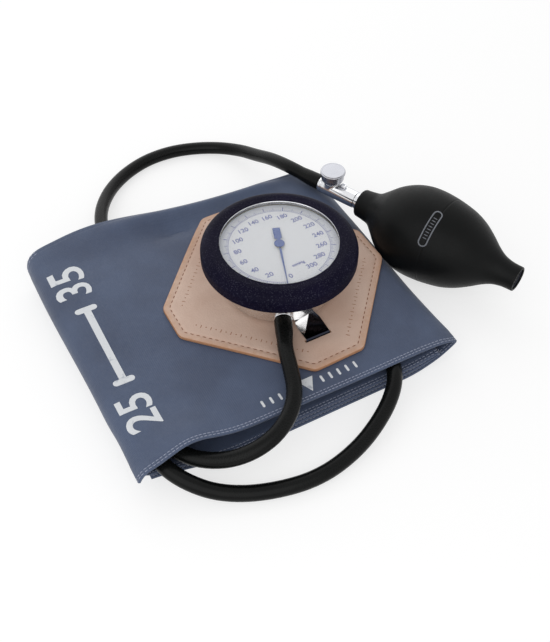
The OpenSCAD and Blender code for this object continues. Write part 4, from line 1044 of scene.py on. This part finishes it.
def leather_beads(spots, length, width, rise, sink):
    """Beads lying on the leather at (x, y) with a heading."""
    beads = []
    for spot, heading in spots:
        x, y = spot
        top = leather_point(np.array([x]), np.array([y]), patch_high[2] - sink)[0]
        ahead = np.append(unit(heading), 0)
        beads.append((top, ahead * length / 2, np.cross(Z_AXIS, ahead) * width / 2, Z_AXIS * rise))
    return beads


LEATHER_PITCH = 3.0
TOOLING_INSET, TOOLING_PITCH = 8.5, 2.4
# Length, width, rise and sink of the beads on the leather
THREAD_BEAD = (1.9, 0.55, 0.16, 0.24)
DOT_BEAD = (0.8, 0.8, 0.07, 0.03)
DASH_BEAD = (2.4, 0.55, 0.07, 0.03)


def add_leather_details():
    spots = zip(*outline_walk(LEATHER_STITCH, LEATHER_PITCH))
    add_beads("leather_stitches", leather_beads(spots, *THREAD_BEAD), "tan_leather", "brown_thread")
    # Plain tooling along the slanted sides: dots and dashes in turn
    dots, dashes = [], []
    for index, (spot, heading) in enumerate(zip(*outline_walk(TOOLING_INSET, TOOLING_PITCH))):
        if min(abs(heading)) > 0.5:
            if index % 2:
                dashes.append((spot, np.array([-heading[1], heading[0]])))
            else:
                dots.append((spot, heading))
    beads = leather_beads(dots, *DOT_BEAD) + leather_beads(dashes, *DASH_BEAD)
    add_beads("leather_tooling", beads, "tan_leather", "tooled_leather")


add_leather_details()


# Gauge: case, bezel, bumper, dial and stem, all turned round the gauge's centre

at_gauge = placed(GAUGE, Z_AXIS, X_AXIS)
case_low, case_high = box_of("case")
bezel_low, bezel_high = box_of("bezel_ring")
lens_low, lens_high = box_of("lens")
CASE_Z, RIM_Z = case_low[2], case_high[2]
CASE_R = case_high[0] - GAUGE[0]
BASE_R = 27.0
SHOULDER_H = 11
SHOULDER_Z = CASE_Z + SHOULDER_H
CASE_WALL = 1.2
RIM_WALL = 1.6
BEZEL_R = bezel_high[0] - GAUGE[0]
WINDOW_R = 27.2
BUMPER_R = gauge_high[0] - GAUGE[0]
CREST_INSET, CREST_H = 0.8, 5.0


def add_case():
    floor, shelf, inner_r = CASE_Z + CASE_WALL, SHOULDER_Z + CASE_WALL, CASE_R - RIM_WALL
    profile = [
        (0, CASE_Z), (BASE_R - 0.8, CASE_Z, 0.3), (BASE_R, CASE_Z + 0.8, 0.3),
        (BASE_R, SHOULDER_Z, 0.5), (CASE_R, SHOULDER_Z, 0.5), (CASE_R, RIM_Z, 0.2), (inner_r, RIM_Z, 0.2),
        (inner_r, shelf, 0.2), (BASE_R - CASE_WALL, shelf, 0.2), (BASE_R - CASE_WALL, floor, 0.2), (0, floor),
    ]
    show_turned("case", "case_shell", profile, 0.3, at_gauge, "case_chrome", 160)


def add_bezel():
    inner, top, low = CASE_R + 0.05, bezel_high[2], bezel_low[2]
    glass_top = lens_high[2]
    profile = [
        (inner, low), (BEZEL_R, low, 0.2), (BEZEL_R, top, 0.35), (WINDOW_R + 0.25, top, 0.15),
        (WINDOW_R, top - 0.25, 0.1), (WINDOW_R, glass_top, 0.05), (inner, glass_top, 0.05), (inner, low),
    ]
    show_turned("bezel_ring", "bezel_turned", profile, 0.2, at_gauge, "polished_chrome", 160)


def add_bumper():
    low, top = gauge_low[2], gauge_high[2]
    lip = WINDOW_R + 0.05
    crest_r = BEZEL_R - CREST_INSET
    profile = [(BEZEL_R, low), (BUMPER_R - 1.2, low, 0.5), (BUMPER_R, low + 1.2, 0.6)]
    for a in np.radians(np.linspace(0, 84, 15)):
        profile.append((crest_r + (BUMPER_R - crest_r) * math.cos(a), top - CREST_H * (1 - math.sin(a)), 0))
    profile += [(29.9, top - 0.05, 0.3), (29.0, top - 0.2, 0.2), (28.0, top - 0.1, 0.2),
                (lip + 0.05, top - 0.25, 0.1), (lip, bezel_high[2], 0), (BEZEL_R, bezel_high[2], 0),
                (BEZEL_R, low)]
    show_turned("bumper", "bumper_moulded", profile, 0.3, at_gauge, "navy_rubber", 192)


def add_lens():
    low, top = lens_low[2], lens_high[2]
    radius = lens_high[0] - GAUGE[0]
    profile = [(0, low), (radius, low, 0.1), (radius, top, 0.2), (radius * 0.9, top),
               (radius * 0.6, top + 0.12), (radius * 0.3, top + 0.2), (0, top + 0.22)]
    show_turned("lens", "lens_crystal", profile, 0.1, at_gauge, "glass", 128)


SCALE_MAX = 300
SCALE_SWEEP = 320.0
ZERO_ANGLE = -110.0
NUMBER_R = 19.3
TICK_R = 23.3
INK_T = 0.03
NUMBER_STEP = 20
# Length and width of the ticks at each step of the scale
TICK_SIZES = {NUMBER_STEP: (2.6, 0.40), 10: (1.9, 0.28), 2: (1.1, 0.20)}


def scale_angle(pressure):
    return math.radians(ZERO_ANGLE - SCALE_SWEEP * pressure / SCALE_MAX)


def add_dial_marks():
    """Ticks every 2, with longer ones every 10 and 20, and the arc they stand on, as thin solid ink."""
    points, faces = [], []
    for pressure in range(0, SCALE_MAX + 1, 2):
        length, width = next(size for step, size in TICK_SIZES.items() if pressure % step == 0)
        a = scale_angle(pressure)
        ray, across = np.array([math.cos(a), math.sin(a), 0]), np.array([-math.sin(a), math.cos(a), 0])
        middle = GAUGE + Z_AXIS * (dial_top + INK_T / 2) + ray * (TICK_R + length / 2)
        corners, quads = box_points(np.zeros(3), (length, width, INK_T))
        first = len(points)
        points += [middle + ray * p[0] + across * p[1] + Z_AXIS * p[2] for p in corners]
        faces += [[first + k for k in quad] for quad in quads]
    add_piece("dial_ticks", points, faces, "dial_white", "dial_ink")
    angles = np.linspace(scale_angle(0), scale_angle(SCALE_MAX), 160)
    inner, outer = TICK_R - 0.1, TICK_R + 0.05
    section = [(inner, 0), (outer, 0), (outer, INK_T), (inner, INK_T)]
    arc = [GAUGE + [r * math.cos(a), r * math.sin(a), dial_top + z] for a in angles for r, z in section]
    last = len(arc) - 4
    quads = grid_faces(len(angles), 4, wrap_columns=True)
    quads += [[3, 2, 1, 0], [last, last + 1, last + 2, last + 3]]
    add_piece("dial_arc", arc, quads, "dial_white", "dial_ink")


ZERO_OUT, ZERO_SIDE = 1.5, 2.3
NUMBER_SIZE, UNIT_SIZE = 3.6, 2.3
NUMBER_WEIGHT = 0.08


def add_dial_numbers():
    """Upright numbers beside their ticks, and the unit, as thin solid ink."""
    labels = []
    for pressure in [*range(NUMBER_STEP, SCALE_MAX + 1, NUMBER_STEP), 0]:
        r, side = (NUMBER_R, 0) if pressure else (NUMBER_R + ZERO_OUT, ZERO_SIDE)
        a = scale_angle(pressure)
        labels.append((str(pressure), NUMBER_SIZE, r * math.cos(a) + side, r * math.sin(a)))
    labels.append(("mmHg", UNIT_SIZE, 1.8, -14.4))
    points, faces = [], []
    for words, size, x, y in labels:
        outline, rings = figures(words, size, NUMBER_WEIGHT)
        first, count = len(points), len(outline)
        for ring in rings:
            faces += [[first + k for k in ring], [first + count + k for k in reversed(ring)]]
        edges = dict.fromkeys(pair for ring in rings for pair in zip(ring, ring[1:] + ring[:1]))
        faces += [[first + a, first + count + a, first + count + b, first + b]
                  for a, b in edges if (b, a) not in edges]
        for z in (INK_T, 0.0):
            points += [GAUGE + [x + u, y + v, dial_top + z] for u, v in outline]
    add_piece("dial_numbers", points, faces, "dial_white", "dial_ink")


STEM_ANGLE = math.radians(-115)
STEM_Z = 25.0
COLLAR_R = 4.2
COLLAR_W = 2.2
PIPE_R = 1.7
BARB_R = 2.2
RIDGE_R = 2.6


def barb(start):
    """Profile of a hose barb with three ridges."""
    step = BARB_LENGTH / 10
    ridge = ((BARB_R, 1), (RIDGE_R, 2), (BARB_R, 3))
    return [(r, start + step * (3 * i + k)) for i in range(3) for r, k in ridge]


def add_stem():
    axis = np.array([math.cos(STEM_ANGLE), math.sin(STEM_ANGLE), 0])
    place = placed(GAUGE + Z_AXIS * STEM_Z, axis, Z_AXIS)
    end = BASE_R + COLLAR_W
    profile = [(0, 3), (PIPE_R, 3), (PIPE_R, BASE_R), (COLLAR_R - 0.4, BASE_R, 0.2),
               (COLLAR_R, BASE_R + 0.5, 0.3), (COLLAR_R, end - 0.3, 0.3), (BARB_R + 0.6, end, 0.2),
               (BARB_R, end)]
    profile += barb(end)
    profile += [(BARB_R - 0.3, end + BARB_LENGTH), (0, end + BARB_LENGTH)]
    show_turned("stem", "stem_turned", profile, 0.15, place, "polished_chrome", 64, 3)


CLIP_DROP, CLIP_T = 0.8, 0.8
CLIP_RIDGE = 2.6
TIP_Y = -38.9
FACET_POINTS = 6


def add_clip():
    """Spring strip under the case, with a tongue creased like a roof that dips into the leather's slit.

    The crease runs from the right side under the case to the left corner of the tip. The facet on one side
    of it, and the tip, are painted dark as a painted reflection of the dark bumper and hose above them.
    """
    clip_low, clip_high = box_of("retaining_clip")
    middle_x = (clip_low[0] + clip_high[0]) / 2
    strip = [(13, 3.5), (0, 3.5), (-21, 3.5), (-22.4, 3.7), (-24, 4.2)]
    tongue = [(-26.5, 5.3)] + [(y, 6.0) for y in (-29.5, -32.5, -35.5, -38.2, -38.8, TIP_Y)]
    lips = {-38.2: 0.0, -38.8: -0.5, TIP_Y: -1.6}
    points = []
    for y, half in strip + tongue:
        crease = np.clip((4.1 + 0.79 * (y + 23.8)) / half, -0.96, 0.96)
        ridge = CLIP_RIDGE * ease(-y, 21, 25.5) * max((y - TIP_Y) / 13.4, 0.0)
        over = []
        left, right = np.linspace(-1, crease, FACET_POINTS), np.linspace(crease, 1, FACET_POINTS)[1:]
        for share in np.concatenate([left, right]):
            if share < crease:
                down = (crease - share) / (crease + 1)
            else:
                down = 0.6 * (share - crease) / (1 - crease)
            over.append((half * share, ridge * (1 - down) + lips.get(y, 0.0)))
        for face, ring in ((CLIP_T, over), (0.0, over[::-1])):
            points += [[middle_x + x, GAUGE[1] + y, CASE_Z - CLIP_DROP + face + z] for x, z in ring]
    facet = FACET_POINTS - 1
    count, rows = 2 * (2 * FACET_POINTS - 1), len(strip) + len(tongue)
    last = (rows - 1) * count
    faces = grid_faces(rows, count, wrap_columns=True)
    faces += [list(range(count))[::-1], [last + k for k in range(count)]]
    clip = add_piece("clip_tongue", points, faces, "polished_chrome")
    clip.data.materials.append(PAINTS["painted_dark_reflection"])
    # The right facet and the tip get the dark metal: a painted reflection of the bumper's dark underside
    for k, part in enumerate(clip.data.polygons):
        row, column = divmod(k, count)
        if len(strip) - 1 <= row < rows - 1 and (0 if row >= rows - 3 else facet) <= column < 2 * facet:
            part.material_index = 1
            part.use_smooth = False
    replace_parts(clip, "retaining_clip")


add_case()
add_bezel()
add_bumper()
add_lens()
add_dial_marks()
add_dial_numbers()
add_stem()
add_clip()


# Valve and bulb, turned round one axis from the bulb's neck

VALVE_ANGLE = math.radians(113.6)
VALVE_DIR = np.array([math.cos(VALVE_ANGLE), math.sin(VALVE_ANGLE), 0])
NECK = np.array([85.7, 23.1, 23.0])
VALVE_R = 4.5
VALVE_LEN = 25.3
SPIGOT_R = 3.7
SPIGOT_LEN = 10.0
BULB_LEN = 87.7
at_valve = placed(NECK, VALVE_DIR, Z_AXIS)
at_bulb = placed(NECK, -VALVE_DIR, Z_AXIS)
knob_low, knob_high = box_of("valve_knob")
KNOB_R = (knob_high[0] - knob_low[0]) / 2
gland_low, gland_high = box_of("valve_gland")
BOSS_R = 4.2
SCREW_BORE_R = 2.3
at_knob = placed(plan_centre("valve_knob"), Z_AXIS, X_AXIS)
GROOVE, GROOVE_SLOPE = 0.35, 0.3


def valve_groove(start, width):
    """Profile of a groove turned round the valve."""
    deep, end = VALVE_R - GROOVE, start + GROOVE_SLOPE + width
    return [(VALVE_R, start, 0.15), (deep, start + GROOVE_SLOPE, 0.1), (deep, end, 0.1),
            (VALVE_R, end + GROOVE_SLOPE, 0.15)]


def add_valve_body():
    """The turned body with its grooves and barb, joined to the boss and bored for the release screw."""
    profile = [(0, -SPIGOT_LEN), (SPIGOT_R, -SPIGOT_LEN, 0.3), (SPIGOT_R, 0, 0.1), (VALVE_R, 0, 0.4)]
    profile += valve_groove(1.8, 0.5) + valve_groove(VALVE_LEN - 2.6, 0.4)
    profile += [(VALVE_R, VALVE_LEN, 0.5), (BARB_R + 0.5, VALVE_LEN, 0.2), (BARB_R, VALVE_LEN + 0.3)]
    profile += barb(VALVE_LEN) + [(BARB_R - 0.3, VALVE_LEN + BARB_LENGTH), (0, VALVE_LEN + BARB_LENGTH)]
    body = add_turned("valve_turned", rounded(profile, 0.15, 3), at_valve, "polished_chrome", 96)
    foot, top = NECK[2], gland_low[2]
    boss = rounded([(0, foot), (BOSS_R, foot), (BOSS_R, top - 0.05, 0.2), (0, top - 0.05)], 0.2, 3)
    combine(body, add_turned("boss_turned", boss, at_knob, None, 96, "polished_chrome"), "UNION")
    foot, top = box_of("release_screw")[0][2] - 1.0, top + 1.0
    bore = [(0, foot), (SCREW_BORE_R, foot), (SCREW_BORE_R, top), (0, top)]
    combine(body, add_turned("screw_bore", bore, at_knob, None, 96, "polished_chrome"), "DIFFERENCE")
    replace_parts(body, "valve_body")


def add_knob():
    """Flat topped knob with a fine groove under its top, a full rim and a narrower waist, and its gland."""
    low, top = knob_low[2], knob_high[2]
    profile = [
        (0, low), (KNOB_R - 1.3, low, 0.2), (KNOB_R - 0.9, low + 0.5, 0.2), (KNOB_R - 0.9, low + 1.0, 0.1),
        (KNOB_R - 0.6, low + 1.3, 0.1), (KNOB_R - 0.6, top - 2.2, 0.2), (KNOB_R - 0.25, top - 1.75, 0.1),
        (KNOB_R, top - 1.5, 0.25), (KNOB_R, top - 0.75, 0.25), (KNOB_R - 0.35, top - 0.55, 0.05),
        (KNOB_R - 0.45, top - 0.5, 0.05), (KNOB_R - 0.3, top - 0.35, 0.05), (KNOB_R - 0.35, top, 0.2),
        (KNOB_R - 1.0, top, 0.05), (KNOB_R - 1.1, top - 0.06, 0.05), (0, top - 0.06),
    ]
    show_turned("valve_knob", "knob_turned", profile, 0.1, at_knob, "polished_chrome", 128, 3, "knob_chrome",
                "knob")
    low, top = gland_low[2], gland_high[2]
    gland = [(SCREW_BORE_R, low), (BOSS_R, low, 0.15), (BOSS_R, top, 0.25), (SCREW_BORE_R, top, 0.1),
             (SCREW_BORE_R, low)]
    show_turned("valve_gland", "gland_turned", gland, 0.2, at_knob, "case_chrome", 96)


def add_bleed_plug():
    plug_low, plug_high = box_of("bleed_plug")
    low, top = plug_low[2], plug_high[2]
    profile = [(0, low), (1.2, low), (1.2, top - 0.9, 0.1), (1.75, top - 0.85, 0.1), (1.75, top - 0.3, 0.25),
               (1.3, top, 0.2), (0.8, top, 0.1), (0.7, top - 0.8, 0.05), (0, top - 0.9)]
    place = placed(plan_centre("bleed_plug"), Z_AXIS, X_AXIS)
    show_turned("bleed_plug", "bleed_plug_turned", profile, 0.1, place, "polished_chrome", 64)


BULB_LINE = np.array([
    (0, 7.2), (5, 7.8), (9, 8.8), (13, 12), (18, 16.4), (24, 20), (30.5, 22.2), (37, 22.9), (44, 22.6),
    (51, 21.6), (58, 19.9), (64, 17.3), (70, 13.5), (75, 9.9), (79, 7.7), (83, 6.6), (87.7, 6.2),
])
SEAM_AT = 47.2
SEAM_DEPTH, SEAM_SHOULDER = 0.16, 0.05


def bulb_radius(u):
    """Radius of the bulb at a distance from its neck, with the shallow seam round its belly."""
    at, r = BULB_LINE.T
    slopes = np.gradient(r, at)
    k = int(np.clip(np.searchsorted(at, u, side="right") - 1, 0, len(at) - 2))
    h = at[k + 1] - at[k]
    t = (u - at[k]) / h
    value = ((2 * t ** 3 - 3 * t ** 2 + 1) * r[k] + (t ** 3 - 2 * t ** 2 + t) * h * slopes[k]
             + (3 * t ** 2 - 2 * t ** 3) * r[k + 1] + (t ** 3 - t ** 2) * h * slopes[k + 1])
    return value - SEAM_DEPTH * bell(u, SEAM_AT, 0.35) + SEAM_SHOULDER * bell(u, SEAM_AT, 1.6)


MOUTH = BULB_LEN + 1.9


def add_bulb():
    steps = [np.linspace(0.7, 45.4, 56), np.linspace(45.8, 48.6, 21), np.linspace(49.2, BULB_LEN - 1, 48)]
    neck, end = bulb_radius(0), bulb_radius(BULB_LEN)
    profile = [(0.0, 0.1), (VALVE_R + 0.4, 0.1), (neck - 0.9, 0.0), (neck - 0.25, 0.2)]
    profile += [(bulb_radius(u), u) for u in np.concatenate(steps)]
    profile += [(end + 0.05, MOUTH - 0.6), (end - 0.1, MOUTH - 0.15), (end - 0.4, MOUTH),
                (end - 0.85, MOUTH - 0.04), (end - 1.05, MOUTH - 0.2), (end - 1.1, MOUTH - 0.6),
                (end - 1.1, BULB_LEN - 0.2), (0, BULB_LEN - 0.2)]
    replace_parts(add_turned("bulb_moulded", profile, at_bulb, "bulb_rubber", 160), "bulb")


LABEL_START, LABEL_END = 13.0, 60.5
LABEL_AT, LABEL_HALF = 46.3, 2.0
TICK_HALF = 1.1


def bulb_surface(u, degrees, over):
    """Point over the bulb's skin, with the angle taken from straight up towards the cuff."""
    a = math.radians(degrees)
    side = np.cross(VALVE_DIR, Z_AXIS)
    return NECK - VALVE_DIR * u + (bulb_radius(u) + over) * (math.cos(a) * Z_AXIS - math.sin(a) * side)


def add_label():
    """A raised oblong frame on the belly with a plain row of ticks in it."""
    turn = math.degrees(LABEL_HALF / bulb_radius(46.5))
    first, last = LABEL_START + turn, LABEL_END - turn
    outline = []
    for side, start, end in ((1, first, last), (-1, last, first)):
        for a in np.arange(12) * math.pi / 11:
            outline.append((LABEL_AT + side * LABEL_HALF * math.cos(a), start - side * turn * math.sin(a)))
        outline += [(LABEL_AT - side * LABEL_HALF, d) for d in np.linspace(start, end, 16)[1:-1]]
    line = np.array([bulb_surface(u, d, 0.12) for u, d in outline])
    points = []
    for k, spot in enumerate(line):
        ahead = unit(line[(k + 1) % len(line)] - line[k - 1])
        outward = unit(bulb_surface(*outline[k], 1.0) - bulb_surface(*outline[k], 0.0))
        across = np.cross(ahead, outward)
        for a in np.arange(8) * math.pi / 4:
            points.append(spot + 0.34 * math.cos(a) * across + 0.3 * math.sin(a) * outward)
    add_piece("bulb_label_frame", points, grid_faces(len(line), 8, True, True), "bulb_rubber", "label_rubber")
    ticks = []
    for degrees in np.linspace(first + turn, last - turn, 8):
        low, high = [bulb_surface(LABEL_AT + way * TICK_HALF, degrees, 0.05) for way in (-1, 1)]
        outward = unit(bulb_surface(LABEL_AT, degrees, 1.0) - bulb_surface(LABEL_AT, degrees, 0.0))
        across = np.cross(unit(high - low), outward)
        ticks.append(((low + high) / 2, (high - low) / 2, across * 0.22, outward * 0.2))
    add_beads("bulb_label_ticks", ticks, "bulb_rubber", "label_rubber")


INLET_PIPE_R, FLANGE_R, DISH_R = 3.6, 5.0, 4.7
INLET_DEPTH = 9


def add_inlet():
    """Inlet in the bulb's tail: a rolled flange round a dish over the filter, both painted dark as painted
    shade in its opening.
    """
    face = BULB_LEN + 1
    profile = [(0, BULB_LEN - INLET_DEPTH), (INLET_PIPE_R, BULB_LEN - INLET_DEPTH, 0.3),
               (INLET_PIPE_R, BULB_LEN, 0.05), (FLANGE_R, BULB_LEN, 0.2), (FLANGE_R, face, 0.2),
               (DISH_R + 0.2, face, 0.15), (DISH_R, face - 0.3, 0.1), (2.6, face - 0.75, 0.1),
               (0, face - 0.8)]
    inlet = add_turned("inlet_turned", rounded(profile, 0.2), at_bulb, "steel", 96, "painted_dark_reflection")
    # The dish is painted black: painted shade in the mouth of the inlet
    inlet.data.materials.append(PAINTS["black_rubber"])
    for part in inlet.data.polygons:
        from_neck = np.array(part.center) / MM - NECK
        along = -from_neck @ VALVE_DIR
        if along > BULB_LEN + 0.1 and np.linalg.norm(from_neck + VALVE_DIR * along) < DISH_R:
            part.material_index = 1
    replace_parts(inlet, "inlet_body")


add_valve_body()
add_knob()
add_bleed_plug()
add_bulb()
add_label()
add_inlet()


# Floor, backdrop light and lamps


FLOOR_SIZE = 4.0
FLOOR_Z = -0.0002
FADE_START, FADE_END = 0.28, 0.75
NEAR_GLOW, NEAR_COVER = 0.66, 0.54
WHITE, PALE, BLACK = (1.0, 1.0, 1.0, 1.0), (0.90, 0.90, 0.90, 1.0), (0.0, 0.0, 0.0, 1.0)


def add_floor():
    """A pale table that keeps the shadows near the object and runs out into plain white round it."""
    mesh = bpy.data.meshes.new("floor")
    corners = [(x * FLOOR_SIZE, y * FLOOR_SIZE, FLOOR_Z) for x, y in ((-1, -1), (1, -1), (1, 1), (-1, 1))]
    mesh.from_pydata(corners, [], [(0, 1, 2, 3)])
    paint = Paint("floor_white")
    far = paint.fit(paint.length(paint.place), FADE_START, FADE_END)
    seen = paint.seen()

    def share(near):
        """For what is seen: the given level near the object, rising to 1 further out."""
        level = paint.math("ADD", paint.math("MULTIPLY", far, 1 - near), near)
        return paint.math("MULTIPLY", seen, level)

    # What is seen of the table is partly its own white, so that the shadows on it stay light
    paint.set(Base_Color=paint.mix(share(NEAR_COVER), PALE, BLACK), Roughness=1.0, Specular_IOR_Level=0.0,
              Emission_Color=WHITE, Emission_Strength=share(NEAR_GLOW))
    mesh.materials.append(paint.material)
    add_object("floor", mesh)


WORLD_LEVEL = 0.53


def add_world():
    """Even light all round, seen as plain white by the camera, metal and glass."""
    bpy.context.scene.world = bpy.data.worlds.new("studio")
    sky = Wiring(bpy.context.scene.world)
    level = sky.add("ShaderNodeMix", **{"0": sky.seen(), "2": WORLD_LEVEL, "3": 1.0}).outputs[0]
    sky.put(sky.nodes["Background"], "Strength", level)
    sky.put(sky.nodes["Background"], "Color", WHITE)


LAMP_TARGET = (0.02, 0.0, 0.02)
LAMP_SIZE = (1.1, 0.8)


def add_lamp(name, power, at):
    data = bpy.data.lights.new(name, "AREA")
    data.shape = "RECTANGLE"
    data.size, data.size_y = LAMP_SIZE
    data.energy = power
    lamp = add_object(name, data)
    lamp.location = at
    lamp.rotation_euler = (Vector(LAMP_TARGET) - Vector(at)).to_track_quat("-Z", "Y").to_euler()


add_floor()
add_world()
add_lamp("key_lamp", 1.9, (0.12, 0.64, 0.50))
add_lamp("fill_lamp", 2.7, (-0.40, -0.46, 0.50))
bpy.context.scene.view_settings.view_transform = "Standard"
